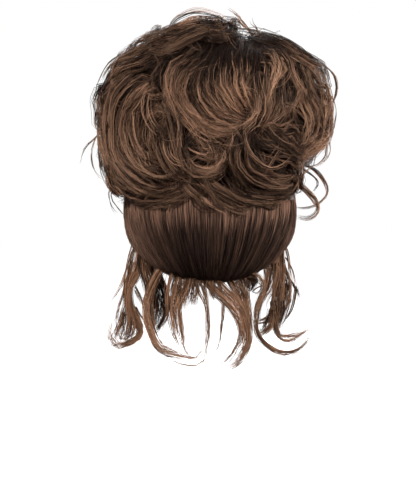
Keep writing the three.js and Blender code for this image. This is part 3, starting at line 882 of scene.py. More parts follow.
sideLocks = [  # the right side's, with across towards the front; the left side mirrors them
    ("side_curl_upper", (34, 86), (-38, -14), 44, 40, 0.97),
    ("side_curl_inner", (4, 62), (-40, 2), 18, 38, 0.94),
    ("side_curl_lower", (44, 24), (-66, -30), 22, 34, 0.91),
]
frontLocks = [
    ("front_roll_left", (-10, 92), (-34, 4), -42, 38, 0.94),
    ("front_roll_right", (14, 92), (34, 2), 42, 38, 0.97),
    ("front_roll_centre", (-4, 82), (8, 0), -12, 38, 0.91),
]
topLocks = [
    ("top_curl_left", (-14, -56), (-58, 30), -34, 42, 0.91),
    ("top_curl_right", (34, -66), (58, 32), 30, 42, 0.91),
    ("top_curl_centre", (-30, 34), (34, 30), -52, 40, 0.94),
]


def lockGuide(spots, sight, level, width, strands, tone, shade, slide=0):
    shares = np.linspace(0, 1, len(spots))
    risen = smooth(shares / crownForm["tuck"]) * smooth((1 - shares) / crownForm["tuck"])
    tucked = crownForm["highLock"] if level >= crownForm["highLock"]["from"] else crownForm
    low = tucked["tuckLevel"]
    path = ontoLevel(spots, sight, mix(low, level, risen))
    facing = -np.sum(crownOutward(path) * sight, axis=1)
    slid = path.copy()
    slid[:, 1] += slide * (1 - smooth(facing / crownCurls["outlineFacing"]))
    path = mix(slid, atLevel(slid, crownLevel(path)), crownCurls["settle"])
    points = drawnIn(evenly(path, pointsAlong(path, crownCurls["step"])))
    return makeGuide(
        points, crownOutward(points), width, min(crownCurls["depth"], width), crownCurls["rootShare"],
        crownCurls["tipShare"], strands, tone, shade)


def backGuides(node, rows, dice, slides):
    shade = next(value for start, value in crownCurls["shades"].items() if node.startswith(start))
    second = crownCurls["strayed"]
    guides = []
    for level, width, share, points in rows:
        strands = round(width * crownCurls["strandsPerMm"])
        tone = share * crownCurls["toneShare"]
        drawn = fromCamera(throughPoints(points), crownCurls["plane"])
        moved = np.array(points) + dice.normal(0, second["by"], (len(points), 2))
        strayed = fromCamera(throughPoints(moved), crownCurls["plane"])
        guides.append(lockGuide(
            *drawn, level, width, strands, tone, shade, slides.uniform(*crownCurls["slide"])))
        guides.append(lockGuide(
            *strayed, level - second["lower"], width * second["wider"], strands, tone - second["darker"],
            shade, slides.uniform(*second["slide"])))
    return guides


def sideGuides(view, row, dice):
    _, start, end, bow, width, level = row
    strands = round(width * otherCurls["strandsPerMm"])
    shares = np.linspace(0, 1, otherCurls["arcPoints"])
    guides = []
    for order in range(otherCurls["guides"]):
        stray = otherCurls["stray"]["rest" if order else "first"]
        shift = dice.normal(0, stray, (2, 2))
        bowed = bow * dice.uniform(*otherCurls["bows"])
        flat = arcPoints(np.array(start) + shift[0], np.array(end) + shift[1], bowed, shares)
        guides.append(lockGuide(
            *fromView(view, flat), level - otherCurls["lower"] * order, width * otherCurls["width"], strands,
            otherCurls["tone"], otherCurls["shades"][view]))
    return guides


def mirrored(row):
    name, start, end, bow, width, level = row
    return name, (-start[0], start[1]), (-end[0], end[1]), -bow, width, level


def growCrown():
    dice = np.random.default_rng(crownCurls["seeds"]["stray"])
    slides = np.random.default_rng(crownCurls["seeds"]["slide"])
    locks = {node: backGuides(node, rows, dice, slides) for node, rows in backCurls.items()}
    for row in sideLocks:
        locks[f"{row[0]}_right"] = sideGuides("right", row, dice)
        locks[f"{row[0]}_left"] = sideGuides("left", mirrored(row), dice)
    locks.update({row[0]: sideGuides("front", row, dice) for row in frontLocks})
    locks.update({row[0]: sideGuides("top", row, dice) for row in topLocks})
    for order, (node, guides) in enumerate(locks.items(), 1):
        settings = dict(crownCurls["strands"], Seed=order * seedStep)
        if node not in backCurls:
            settings["Thickness"] = otherCurls["thickness"]
        if node.startswith(crownCurls["strongTones"]["starts"]):
            settings["Tone Range"] = crownCurls["strongTones"]["range"]
        if node in crownCurls["tangled"]["nodes"]:
            settings.update(crownCurls["tangled"]["strands"])
        piece = growStrands(f"{node}_hair", guides, settings, materials["curledHair"])
        finishPiece(piece, [node])
    print("crown curls:", len(locks))


growCrown()


# Free locks: ring curls at the right, an arch on top and the locks at the nape, drawn through points across
# and up as the camera sees them: depth behind the frame's middle at both ends, width, tone, points.

freeLocks = {
    "plane": -65,
    "flatness": 0.6,
    "rootShare": 0.8,
    "tipShare": 0.6,
    "shade": 0.22,
    "strandsPerMm": 4.4,
    "steps": {"ring": 5, "nape": 8},  # mm between a guide's points
    "seeds": {"ring": 7000, "arch": 8000, "nape": 9000, "wisps": 15000},
    "strands": {
        "Clumps": 8, "Thickness": 0.5 * mm, "Clump Reach": 0.85, "Root Spread": 0.65, "Tip Spread": 0.42,
        "Twist": 1.2, "Wave": 2.4 * mm, "Frizz": 1.2 * mm, "Root Trim": 0.03, "Tip Trim": 0.3,
        "Tip Flare": 3 * mm, "Loose Share": 0.15, "Tone Range": 1.4,
    },
}
ringCurls = {
    "ringlet_upper": [
        ((30, 48), 4, 0.3, [(100, -36), (107, -39), (114, -43), (120, -51), (124, -59), (124, -66),
            (120, -72), (115, -77), (107, -81), (98, -82), (91, -81)]),
        ((30, 46), 2.5, 0.35, [(101, -37), (108, -41), (114, -47), (119, -54), (122, -61), (123, -67),
            (119, -73)]),
        ((30, 44), 2, 0.28, [(98, -40), (104, -44), (109, -48), (113, -52), (114, -57), (112, -61),
            (109, -65)]),
        ((20, 40), 2.5, 0.2, [(126, 6), (127, -2), (125, -12), (123, -20), (122, -27), (117, -33),
            (111, -37), (104, -38)]),
        ((22, 40), 1.2, 0.5, [(127, -4), (126, -13), (127, -20), (125, -27), (120, -33), (114, -37)]),
    ],
    "ringlet_lower": [
        ((50, 62), 6, 0.25, [(86, -50), (94, -56), (100, -60), (107, -67), (112, -73), (114, -79),
            (114, -84), (111, -89), (106, -92), (99, -93), (92, -91)]),
        ((48, 60), 4, 0.3, [(84, -54), (92, -59), (98, -63), (104, -69), (109, -75), (112, -81)]),
    ],
}
ringStrands = {"Clumps": 4, "Tip Trim": 0.12, "Tip Flare": 1 * mm, "Frizz": 0.7 * mm, "Wave": 1.6 * mm}
topArch = {
    "top_arch": [
        ((8, 44), 4, 0.28, [(-44, 104), (-40, 113), (-34, 119), (-23, 124), (-13, 126), (0, 124), (15, 118),
            (24, 108)]),
    ],
}
napeLocks = {
    "nape_left_outer": [
        ((36, 44), 9, 0.85, [(-78, -119), (-83, -134), (-86, -149), (-88, -163), (-88, -177), (-85, -191),
            (-78, -202), (-74, -212), (-74, -218), (-80, -223), (-90, -227), (-98, -229), (-105, -224),
            (-107, -216), (-106, -205), (-102, -197)]),
        ((40, 44), 9, 0.9, [(-73, -122), (-77, -137), (-81, -151), (-85, -165), (-85, -179), (-81, -192),
            (-76, -202), (-73, -213), (-77, -220), (-87, -224), (-96, -225), (-103, -220), (-103, -210)]),
        ((42, 40), 8, 0.85, [(-68, -126), (-72, -139), (-77, -151), (-83, -163), (-86, -176), (-85, -188),
            (-81, -200), (-80, -212), (-86, -219), (-93, -221), (-97, -215), (-97, -205)]),
        ((42, 40), 6, 0.6, [(-67, -128), (-71, -141), (-77, -155), (-84, -168), (-86, -181), (-86, -194),
            (-85, -205), (-88, -215), (-93, -216), (-95, -207)]),
        ((36, 42), 4, 0.5, [(-81, -139), (-86, -154), (-89, -168), (-90, -181), (-93, -192), (-92, -204),
            (-91, -215), (-94, -222), (-101, -223)]),
        ((30, 40), 3, 0.5, [(-84, -147), (-89, -162), (-93, -176), (-97, -187), (-99, -200), (-99, -213),
            (-97, -222)]),
        ((38, 42), 4, 0.5, [(-87, -179), (-88, -190), (-90, -198), (-92, -206), (-94, -213), (-95, -219),
            (-96, -224)]),
        ((36, 40), 3, 0.5, [(-87, -183), (-91, -193), (-94, -200), (-97, -208), (-99, -215), (-100, -221),
            (-99, -225)]),
        ((38, 42), 6, 0.4, [(-84, -187), (-85, -197), (-87, -205), (-88, -212), (-89, -219), (-88, -224)]),
        ((40, 42), 6, 0.35, [(-83, -192), (-82, -200), (-83, -208), (-84, -214), (-87, -219), (-91, -223)]),
        ((40, 44), 7, 0.3, [(-80, -196), (-77, -205), (-75, -212), (-77, -218), (-83, -222), (-88, -225),
            (-95, -226)]),
        ((34, 40), 2.5, 0.45, [(-95, -194), (-97, -202), (-100, -209), (-103, -215), (-104, -220),
            (-101, -225)]),
        ((36, 40), 3, 0.45, [(-91, -198), (-94, -205), (-98, -212), (-101, -219), (-102, -224)]),
        ((44, 50), 2, 0.5, [(-79, -164), (-76, -170), (-72, -177), (-70, -186), (-69, -194)]),
        ((44, 50), 1.5, 0.5, [(-80, -169), (-77, -175), (-73, -181), (-71, -187)]),
        ((44, 50), 3, 0.4, [(-79, -186), (-76, -192), (-72, -198), (-69, -203)]),
        ((42, 46), 4, 0.35, [(-80, -190), (-76, -198), (-72, -206), (-71, -213)]),
    ],
    "nape_left_front": [
        ((2, 8), 12, 0.45, [(-80, -106), (-73, -122), (-68, -134), (-60, -147), (-54, -159), (-50, -170),
            (-48, -182), (-49, -193), (-53, -202), (-58, -211)]),
        ((2, 8), 12, 0.4, [(-80, -106), (-73, -124), (-67, -139), (-60, -154), (-56, -168), (-54, -183),
            (-55, -196)]),
        ((6, 10), 10, 0.5, [(-80, -106), (-76, -124), (-71, -141), (-66, -156), (-61, -170), (-60, -185),
            (-59, -200), (-57, -211)]),
        ((4, 10), 6, 0.5, [(-79, -106), (-69, -124), (-58, -143), (-51, -158), (-47, -173), (-45, -185),
            (-48, -196), (-53, -206), (-59, -216)]),
        ((4, 12), 5, 0.2, [(-50, -158), (-46, -168), (-45, -179), (-45, -190), (-49, -198), (-53, -206),
            (-57, -212), (-59, -216)]),
        ((4, 12), 8, 0.12, [(-55, -158), (-50, -170), (-49, -183), (-50, -194), (-53, -203), (-58, -210)]),
        ((6, 14), 8, 0.15, [(-61, -163), (-58, -179), (-57, -192), (-58, -202), (-60, -209)]),
        ((4, 12), 3, 0.3, [(-46, -175), (-44, -186), (-45, -196), (-49, -205), (-54, -213), (-58, -217)]),
        ((8, 16), 6, 0.25, [(-64, -166), (-62, -183), (-61, -196), (-61, -205)]),
    ],
    "nape_left_cross": [
        ((60, 76), 9, 0.5, [(-49, -143), (-54, -149), (-59, -158), (-63, -166), (-67, -177), (-68, -188),
            (-67, -200), (-63, -212), (-59, -222), (-53, -230), (-44, -234), (-35, -237), (-25, -240),
            (-17, -241), (-11, -236), (-5, -228)]),
        ((50, 74), 8, 0.45, [(-69, -132), (-71, -143), (-69, -155), (-66, -166), (-65, -177), (-66, -188),
            (-65, -200), (-62, -212), (-58, -223), (-51, -231), (-41, -235), (-31, -238)]),
        ((56, 74), 7, 0.6, [(-53, -145), (-57, -155), (-61, -166), (-63, -179), (-63, -192), (-61, -204),
            (-61, -216), (-58, -227), (-53, -233), (-44, -237), (-34, -239), (-23, -242)]),
        ((44, 60), 10, 0.35, [(-73, -130), (-72, -143), (-69, -155), (-67, -165), (-67, -176)]),
    ],
    "nape_left_hook": [
        ((74, 80), 5, 0.35, [(-30, -156), (-31, -170), (-32, -185), (-31, -200), (-29, -215), (-28, -228),
            (-24, -236), (-19, -241), (-14, -242)]),
        ((70, 72), 9, 0.55, [(-34, -154), (-37, -166), (-40, -179), (-41, -192), (-39, -205), (-36, -219),
            (-31, -232)]),
        ((68, 70), 8, 0.5, [(-39, -149), (-42, -162), (-43, -175), (-43, -187), (-42, -200)]),
        ((74, 74), 8, 0.4, [(-25, -158), (-31, -170), (-36, -182), (-40, -193)]),
        ((72, 76), 6, 0.5, [(-36, -162), (-35, -179), (-34, -196), (-31, -214), (-25, -232)]),
    ],
    "nape_centre": [
        ((78, 80), 3.5, 0.5, [(-13, -158), (-7, -170), (-4, -184), (-3, -200), (-3, -216), (-5, -230),
            (-7, -241), (-14, -249)]),
        ((78, 80), 2.5, 0.5, [(-7, -158), (-4, -174), (-2, -192), (-1, -211), (-2, -227), (-4, -239),
            (-8, -247)]),
        ((78, 80), 3, 0.45, [(8, -158), (12, -174), (13, -192), (11, -209), (10, -223), (6, -234),
            (-1, -243)]),
        ((76, 74), 12, 0.3, [(-21, -156), (-24, -166), (-28, -179), (-30, -189)]),
        ((76, 74), 12, 0.3, [(-15, -156), (-17, -166), (-18, -177), (-17, -185)]),
        ((78, 76), 10, 0.3, [(2, -158), (2, -168), (4, -179)]),
        ((78, 80), 4, 0.35, [(-17, -157), (-13, -169), (-7, -181), (-3, -193)]),
    ],
    "nape_right_dark": [
        ((78, 80), 5, 0.3, [(-11, -157), (-2, -166), (6, -175), (16, -183), (23, -192), (29, -201),
            (32, -212), (31, -222), (26, -232), (20, -240), (12, -247), (2, -248), (-4, -244)]),
        ((78, 80), 4, 0.4, [(-6, -158), (4, -168), (15, -179), (24, -189), (31, -201), (34, -213),
            (32, -224), (28, -234), (20, -242), (11, -249)]),
    ],
    "nape_right_light": [
        ((66, 84), 8, 0.7, [(30, -151), (33, -166), (36, -181), (39, -196), (41, -211), (41, -224),
            (36, -237), (29, -246), (20, -251), (11, -251)]),
        ((70, 84), 9, 0.6, [(19, -154), (26, -168), (33, -183), (38, -199), (40, -215), (38, -230),
            (32, -240), (23, -248), (14, -251)]),
        ((74, 82), 10, 0.55, [(6, -157), (17, -169), (28, -181), (35, -195), (39, -211), (38, -227),
            (31, -239), (21, -247)]),
        ((76, 80), 8, 0.5, [(-3, -159), (8, -169), (21, -180), (31, -192), (36, -205), (37, -221),
            (32, -234)]),
        ((62, 74), 8, 0.5, [(38, -149), (39, -164), (40, -179), (42, -194), (42, -206)]),
        ((66, 70), 12, 0.15, [(21, -151), (25, -161), (32, -169), (37, -180)]),
    ],
    "nape_right_flick": [
        ((64, 70), 5, 0.35, [(30, -154), (38, -150), (47, -151), (54, -157), (57, -164), (55, -173),
            (51, -182), (49, -192)]),
        ((58, 64), 10, 0.12, [(38, -143), (42, -151), (45, -161), (42, -170)]),
        ((64, 70), 3, 0.4, [(32, -155), (42, -155), (51, -158), (55, -164), (52, -171), (47, -176)]),
        ((62, 66), 8, 0.05, [(29, -152), (38, -155), (45, -158), (51, -160)]),
        ((64, 66), 9, 0.08, [(31, -153), (37, -159), (41, -164), (43, -170)]),
        ((62, 64), 7, 0.06, [(40, -153), (46, -157), (45, -162), (43, -168)]),
        ((60, 62), 1.5, 0.3, [(58, -164), (52, -165), (47, -168), (45, -171), (49, -172), (55, -168)]),
        ((58, 60), 5, 0.2, [(55, -158), (58, -162), (57, -169), (53, -176), (50, -182), (48, -189)]),
    ],
    "nape_right_inner": [
        ((36, 62), 6, 0.5, [(61, -126), (61, -141), (61, -155), (58, -166), (53, -177), (50, -187),
            (49, -199), (49, -211), (52, -219), (59, -227), (69, -233), (79, -236), (90, -233), (98, -228),
            (104, -219), (106, -211)]),
        ((36, 60), 5, 0.3, [(57, -128), (58, -143), (59, -157), (57, -167), (52, -178), (49, -188),
            (48, -200), (49, -214)]),
        ((34, 56), 6, 0.45, [(65, -128), (65, -143), (63, -158), (59, -170), (54, -181), (51, -193),
            (51, -205), (51, -216)]),
        ((56, 62), 4, 0.55, [(48, -204), (50, -213), (55, -221), (63, -229), (70, -233), (80, -235),
            (89, -233), (97, -230), (102, -224), (105, -218), (106, -214)]),
        ((56, 62), 3.5, 0.4, [(48, -208), (51, -215), (56, -223), (64, -230), (71, -234), (81, -235),
            (90, -234), (98, -230), (103, -223), (105, -217)]),
        ((50, 54), 8, 0.08, [(65, -189), (64, -199), (61, -206), (56, -212), (49, -216)]),
        ((50, 54), 7, 0.1, [(66, -193), (65, -202), (63, -209), (58, -214), (52, -216)]),
        ((50, 54), 2.5, 0.35, [(64, -195), (58, -199), (52, -201), (48, -203)]),
        ((50, 54), 2.5, 0.3, [(63, -200), (57, -203), (52, -204), (49, -206)]),
    ],
    "nape_right_middle": [
        ((32, 44), 8, 0.95, [(70, -122), (70, -137), (70, -151), (67, -164), (61, -175), (56, -184)]),
        ((30, 44), 8, 0.85, [(74, -124), (73, -139), (72, -154), (70, -166), (68, -179), (67, -193),
            (68, -205), (71, -215), (77, -219), (86, -218), (94, -215), (103, -211)]),
        ((30, 44), 6, 0.7, [(77, -126), (77, -141), (77, -156), (75, -168), (73, -181), (72, -194),
            (71, -206), (73, -217), (79, -222), (88, -221), (96, -216), (106, -209)]),
        ((34, 46), 7, 0.25, [(70, -139), (69, -158), (68, -175), (66, -187), (62, -198), (57, -207),
            (52, -216)]),
        ((30, 40), 7, 0.3, [(74, -139), (74, -156), (74, -173), (73, -187), (70, -200), (66, -211)]),
        ((40, 46), 3.5, 0.5, [(70, -208), (71, -214), (74, -220), (79, -223), (86, -222), (93, -218),
            (101, -212), (107, -209)]),
        ((40, 46), 3, 0.65, [(71, -212), (73, -217), (80, -218), (87, -217), (95, -215), (103, -211)]),
        ((38, 44), 9, 0.15, [(66, -180), (67, -190), (68, -200), (69, -209), (71, -215)]),
        ((34, 40), 9, 0.12, [(76, -179), (77, -187), (75, -196), (72, -203), (70, -210)]),
    ],
    "nape_right_outer": [
        ((20, 26), 6, 0.4, [(75, -120), (77, -132), (80, -145), (85, -158), (86, -169), (84, -181),
            (79, -192), (75, -201), (73, -211)]),
        ((16, 24), 3, 0.35, [(76, -115), (81, -126), (83, -136), (84, -147), (86, -159)]),
        ((20, 26), 6, 0.55, [(74, -122), (75, -137), (77, -151), (81, -164), (83, -177), (80, -188),
            (76, -199), (73, -209)]),
        ((22, 28), 5, 0.3, [(73, -126), (75, -143), (78, -160), (78, -175), (76, -187), (73, -198)]),
    ],
    "nape_right_front": [
        ((4, 18), 8, 0.35, [(80, -106), (74, -118), (71, -134), (75, -151), (78, -168), (77, -183),
            (74, -197), (72, -209)]),
        ((4, 16), 8, 0.3, [(80, -106), (71, -118), (68, -139), (71, -158), (74, -175), (73, -189),
            (70, -202)]),
    ],
}


def freeGuide(row, step):
    depths, width, tone, points = row
    spots, sight = fromCamera(throughPoints(points), freeLocks["plane"])
    depth = -mix(*depths, smooth(np.linspace(0, 1, len(spots))))
    path = spots + sight * ((depth - freeLocks["plane"]) / sight[:, 1])[:, None]
    even = evenly(path, pointsAlong(path, step))
    count = len(even)
    outward = np.stack([even[:, 0] / headForm["halfBreadth"], -np.ones(count), np.zeros(count)], axis=1)
    strands = round(width * freeLocks["strandsPerMm"])
    return makeGuide(
        even, unit(outward), width, width * freeLocks["flatness"], freeLocks["rootShare"],
        freeLocks["tipShare"], strands, tone, freeLocks["shade"])


def growFreeLocks(locks, material, place, step, ownStrands):
    for order, (node, rows) in enumerate(locks.items()):
        seed = freeLocks["seeds"][place] + order * seedStep
        settings = {**freeLocks["strands"], **ownStrands, "Seed": seed}
        guides = [freeGuide(row, step) for row in rows]
        finishPiece(growStrands(f"{node}_hair", guides, settings, materials[material]), [node])
    print("free locks:", len(locks))


growFreeLocks(ringCurls, "curledHair", "ring", freeLocks["steps"]["ring"], ringStrands)
growFreeLocks(topArch, "curledHair", "arch", freeLocks["steps"]["ring"], {})
growFreeLocks(napeLocks, "tendrilHair", "nape", freeLocks["steps"]["nape"], {})


# Closed shell between two grids of points that share their layout

shellForm = {"mapSize": 0.96, "mapStart": 0.02, "mapMiddle": 0.5, "innerShare": 0.97, "weld": 0.01}


def gridShell(name, outer, inner, material, wrapped=False):
    rows, columns = outer.shape[:2]
    points = np.concatenate([outer.reshape(-1, 3), inner.reshape(-1, 3)]) * mm
    rise, turn = np.meshgrid(np.linspace(0, 1, rows), np.linspace(0, 1, columns), indexing="ij")
    places = np.stack([rise, turn], axis=-1).reshape(-1, 2)
    size, middle = shellForm["mapSize"], shellForm["mapMiddle"]
    inside = (places - middle) * shellForm["innerShare"] * size + middle
    places = np.concatenate([places * size + shellForm["mapStart"], inside])
    sheet = rows * columns

    def corner(row, column):
        return row * columns + column

    quads = []
    for row in range(rows - 1):
        for column in range(columns - 1):
            a, b = corner(row, column), corner(row, column + 1)
            c, d = corner(row + 1, column + 1), corner(row + 1, column)
            quads.append((a, b, c, d))
            quads.append((sheet + d, sheet + c, sheet + b, sheet + a))
    rim = [corner(0, column) for column in range(columns)]
    rim += [corner(row, columns - 1) for row in range(1, rows)]
    rim += [corner(rows - 1, column) for column in range(columns - 2, -1, -1)]
    rim += [corner(row, 0) for row in range(rows - 2, 0, -1)]
    for near, far in zip(rim, rim[1:] + rim[:1]):
        quads.append((far, near, sheet + near, sheet + far))
    mesh = bpy.data.meshes.new(name)
    mesh.from_pydata(points.tolist(), [], quads)
    layer = mesh.uv_layers.new(name=uvName)
    corners = np.zeros(len(mesh.loops), np.int32)
    mesh.loops.foreach_get("vertex_index", corners)
    layer.uv.foreach_set("vector", places[corners].astype(np.float32).ravel())
    build = bmesh.new()
    build.from_mesh(mesh)
    if wrapped:
        bmesh.ops.remove_doubles(build, verts=build.verts, dist=shellForm["weld"] * mm)
    bmesh.ops.recalc_face_normals(build, faces=build.faces)
    build.to_mesh(mesh)
    build.free()
    mesh.materials.append(material)
    mesh.shade_smooth()
    return addObject(name, mesh)


# Combed hair: a streaked shell on the cap with strands down it that draw in towards the nape

combedHair = {
    "panels": [  # node, and degrees round from the middle of the back
        ("comb_back", -78, 78), ("comb_right", 78, 132), ("comb_front", 132, 228), ("comb_left", 228, 282)],
    "shell": {"degreesToColumn": 2, "rows": 25, "crowding": 1.5, "sunk": 1.0, "clearance": 1.1},
    "seeds": {"guides": 17, "strands": 5000},
    "degreesToGuide": 2.2,
    "pathPoints": 60,
    "points": 10,
    "strandsToGuide": {"comb_back": 24, "other": 10},
    "drawIn": 26,  # degrees that strands at the sides come round towards the back
    # lighter towards the sides and darker in the middle: painted light where the lamps at both sides fall on
    # the band
    "tones": [  # by degrees round, as the panels
        (-78, 0.75), (-55, 0.58), (-38, 0.3), (-22, 0.17), (0, 0.16), (25, 0.17), (50, 0.16), (66, 0.24),
        (78, 0.6)],
    "toneStray": 0.08,
    # the root zone is the painted sheen at the top of the band; shades and their shifts set how far down it
    # reaches, further at the sides
    "shades": (-0.12, 0.14),  # where roots lie on the colour's way along
    "shadeShifts": [(-78, -0.1), (-40, -0.05), (0, 0.1), (40, -0.06), (78, -0.12)],  # by degrees round
    "width": 8,
    "depth": 2.4,
    "strands": {
        "Clumps": 8, "Thickness": 0.52 * mm, "Clump Reach": 0.8, "Root Spread": 0.5, "Tip Spread": 0.4,
        "Twist": 0.4, "Wave": 1.4 * mm, "Frizz": 0.6 * mm, "Root Trim": 0.06, "Tip Trim": 0.1,
        "Tip Flare": 0.0, "Loose Share": 0.06, "Tone Range": 0.62,
    },
}
underHair = {
    "streaks": (4, 150, 1), "detail": 3, "ramp": [(0.3, (16, 11, 9)), (0.7, (52, 38, 32))],
    "shine": 0.2, "roughness": 0.6}


def combPolar(turn, rise):
    low = np.radians(roundTheHead(turn, capForm["edge"]))
    high = np.radians(roundTheHead(turn, combForm["top"]))
    return mix(low, high, rise)


def combShell(node, first, last):
    shell = combedHair["shell"]
    columns = round((last - first) / shell["degreesToColumn"]) + 1
    rises = np.linspace(0, 1, shell["rows"]) ** shell["crowding"]
    turn, rise = np.meshgrid(np.radians(np.linspace(first, last, columns)), rises, indexing="xy")
    polar = combPolar(turn, rise)
    outer = headPoint(turn, polar, combLift(turn, rise) - shell["sunk"])[0]
    inner = headPoint(turn, polar, np.full(turn.shape, capForm["wall"] + shell["clearance"]))[0]
    return gridShell(f"{node}_underhair", outer, inner, materials["underHair"])


def combGuide(turnAtTop, strands, dice):
    progress = np.linspace(0, 1, combedHair["pathPoints"])
    rise = 1 - progress
    atTop = math.radians(turnAtTop)
    turn = atTop - math.radians(combedHair["drawIn"]) * np.sin(atTop) * progress ** 2
    path, outward = headPoint(turn, combPolar(turn, rise), combLift(turn, rise))
    points = evenly(path, combedHair["points"])
    outward = unit(evenly(outward, combedHair["points"]))
    fromBack = (turnAtTop + 180) % 360 - 180
    # tone: lighter at the sides as painted light; shade: how far down the painted sheen at the top reaches
    tone = np.interp(fromBack, *np.transpose(combedHair["tones"])) + dice.normal(0, combedHair["toneStray"])
    shade = dice.uniform(*combedHair["shades"])
    shade += np.interp(fromBack, *np.transpose(combedHair["shadeShifts"]))
    return makeGuide(points, outward, combedHair["width"], combedHair["depth"], 1, 1, strands, tone, shade)


def makeUnderHairMaterial(look):
    material, tree, shader = newMaterial("underHair")
    place = addNode(tree, "ShaderNodeUVMap", uv_map=uvName)
    streaks = addNode(tree, "ShaderNodeMapping", {"Vector": place.outputs[0], "Scale": look["streaks"]})
    noise = addNode(
        tree, "ShaderNodeTexNoise", {"Vector": streaks.outputs[0], "Scale": 1, "Detail": look["detail"]})
    setInputs(tree, shader, {
        "Base Color": addRamp(tree, noise.outputs[0], look["ramp"]),
        "Specular IOR Level": look["shine"],
        "Roughness": look["roughness"],
    })
    return material


def growCombedHair():
    materials["underHair"] = makeUnderHairMaterial(underHair)
    dice = np.random.default_rng(combedHair["seeds"]["guides"])
    for order, (node, first, last) in enumerate(combedHair["panels"], 1):
        finishPiece(combShell(node, first, last), [node])
        count = round((last - first) / combedHair["degreesToGuide"])
        turns = np.linspace(first, last, count, endpoint=False) + combedHair["degreesToGuide"] / 2
        seed = combedHair["seeds"]["strands"] + order * seedStep
        settings = dict(combedHair["strands"], Seed=seed)
        strands = combedHair["strandsToGuide"].get(node, combedHair["strandsToGuide"]["other"])
        guides = [combGuide(turn, strands, dice) for turn in turns]
        piece = growStrands(f"{node}_strands", guides, settings, materials["combedHair"])
        finishPiece(piece, [node])
    print("combed panels:", len(combedHair["panels"]))


growCombedHair()


# Teased base under the curls: the frame's own form made round, in matt dark hair, its darkness partly painted
# shade of the gaps it shows through

teasedBase = {
    "weld": 0.02,
    "voxel": 5.0,
    "soften": {"factor": 0.5, "iterations": 8},
    "noise": {"Scale": 240, "Detail": 4, "Distortion": 2.5},
    "ramp": [(0.35, (20, 14, 12)), (0.7, (60, 45, 37))],
    "bump": {"Distance": 2 * mm, "Strength": 0.8},
    "shine": 0.08,
    "roughness": 0.75,
}


def makeTeasedMaterial(look):
    material, tree, shader = newMaterial("teasedHair")
    place = addNode(tree, "ShaderNodeTexCoord").outputs["Object"]
    noise = addNode(tree, "ShaderNodeTexNoise", {"Vector": place, **look["noise"]})
    bump = addNode(tree, "ShaderNodeBump", {"Height": noise.outputs[0], **look["bump"]})
    setInputs(tree, shader, {
        "Base Color": addRamp(tree, noise.outputs[0], look["ramp"]),
        "Normal": bump.outputs[0],
        "Specular IOR Level": look["shine"],
        "Specular Tint": linear(*shineTint),
        "Roughness": look["roughness"],
    })
    return material


def makeTeasedBase():
    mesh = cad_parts["crown_base"].data.copy()
    build = bmesh.new()
    build.from_mesh(mesh)
    bmesh.ops.remove_doubles(build, verts=build.verts, dist=teasedBase["weld"] * mm)
    build.to_mesh(mesh)
    build.free()
    mesh.materials.clear()
    piece = addObject("crown_base_hair", mesh)
    remesh = piece.modifiers.new("even", "REMESH")
    remesh.mode = "VOXEL"
    remesh.voxel_size = teasedBase["voxel"] * mm
    soften = piece.modifiers.new("soften", "SMOOTH")
    soften.factor = teasedBase["soften"]["factor"]
    soften.iterations = teasedBase["soften"]["iterations"]
    rounded = bakeModifiers(piece)
    points = np.zeros(len(rounded.vertices) * 3, np.float32)
    rounded.vertices.foreach_get("co", points)
    rounded.vertices.foreach_set("co", (drawnIn(points.reshape(-1, 3) / mm) * mm).ravel())
    rounded.materials.append(makeTeasedMaterial(teasedBase))
    rounded.shade_smooth()
    finishPiece(piece, ["crown_base"])
    print("teased base:", len(rounded.polygons), "faces")


makeTeasedBase()


# Loose hair all over the crown: curls that cover the base, strays that cross the locks, and fly-aways.
# Levels are where a curl starts and where its middle comes to.

darkTop = {"from": 55, "over": 30, "share": 0.25}  # heights over which loose hair turns dark
looseForm = {
    "start": 50,  # mm from the crown's middle, before a curl comes out to its level
    "fall": -0.6,  # how much its heading leans down
    "steps": 40,
    "rootShare": 0.8,
    "tipShare": 0.5,
    "shade": 0.25,
}
looseHair = {
    "filler_curls": {
        "count": 100, "levels": (0.885, 0.885), "length": (55, 105), "radius": (24, 46), "lowest": -0.55,
        "width": 26, "depth": 10, "points": 10, "strandsToGuide": 10, "tones": (0.07, 0.25), "seed": 41,
        "strands": {
            "Clumps": 4, "Thickness": 0.9 * mm, "Clump Reach": 0.8, "Root Spread": 0.45, "Tip Spread": 0.25,
            "Twist": 1.5, "Wave": 4.0 * mm, "Frizz": 1.5 * mm, "Root Trim": 0.1, "Tip Trim": 0.4,
            "Tip Flare": 6 * mm, "Loose Share": 0.1, "Tone Range": 0.6, "Seed": 12000,
        },
    },
    "stray_curls": {
        "count": 110, "levels": (0.93, 0.985), "length": (50, 110), "radius": (18, 40), "lowest": -0.6,
        "width": 9, "depth": 5, "points": 14, "strandsToGuide": 5, "tones": (0.14, 0.65), "seed": 42,
        "strands": {
            "Clumps": 2, "Thickness": 0.5 * mm, "Clump Reach": 0.9, "Root Spread": 0.6, "Tip Spread": 0.5,
            "Twist": 2.0, "Wave": 3.0 * mm, "Frizz": 1.6 * mm, "Root Trim": 0.2, "Tip Trim": 0.4,
            "Tip Flare": 6 * mm, "Loose Share": 0.2, "Tone Range": 0.6, "Seed": 13000,
        },
    },
    "fly_aways": {
        "count": 60, "levels": (0.95, 1.04), "length": (30, 80), "radius": (14, 40), "lowest": -0.5,
        "width": 5, "depth": 4, "points": 12, "strandsToGuide": 1, "tones": (0.14, 0.5), "seed": 43,
        "strands": {
            "Clumps": 1, "Thickness": 0.4 * mm, "Clump Reach": 0.9, "Root Spread": 0.6, "Tip Spread": 0.5,
            "Twist": 0.0, "Wave": 3.0 * mm, "Frizz": 1.5 * mm, "Root Trim": 0.2, "Tip Trim": 0.4,
            "Tip Flare": 5 * mm, "Loose Share": 0.3, "Tone Range": 0.6, "Seed": 14000,
        },
    },
}


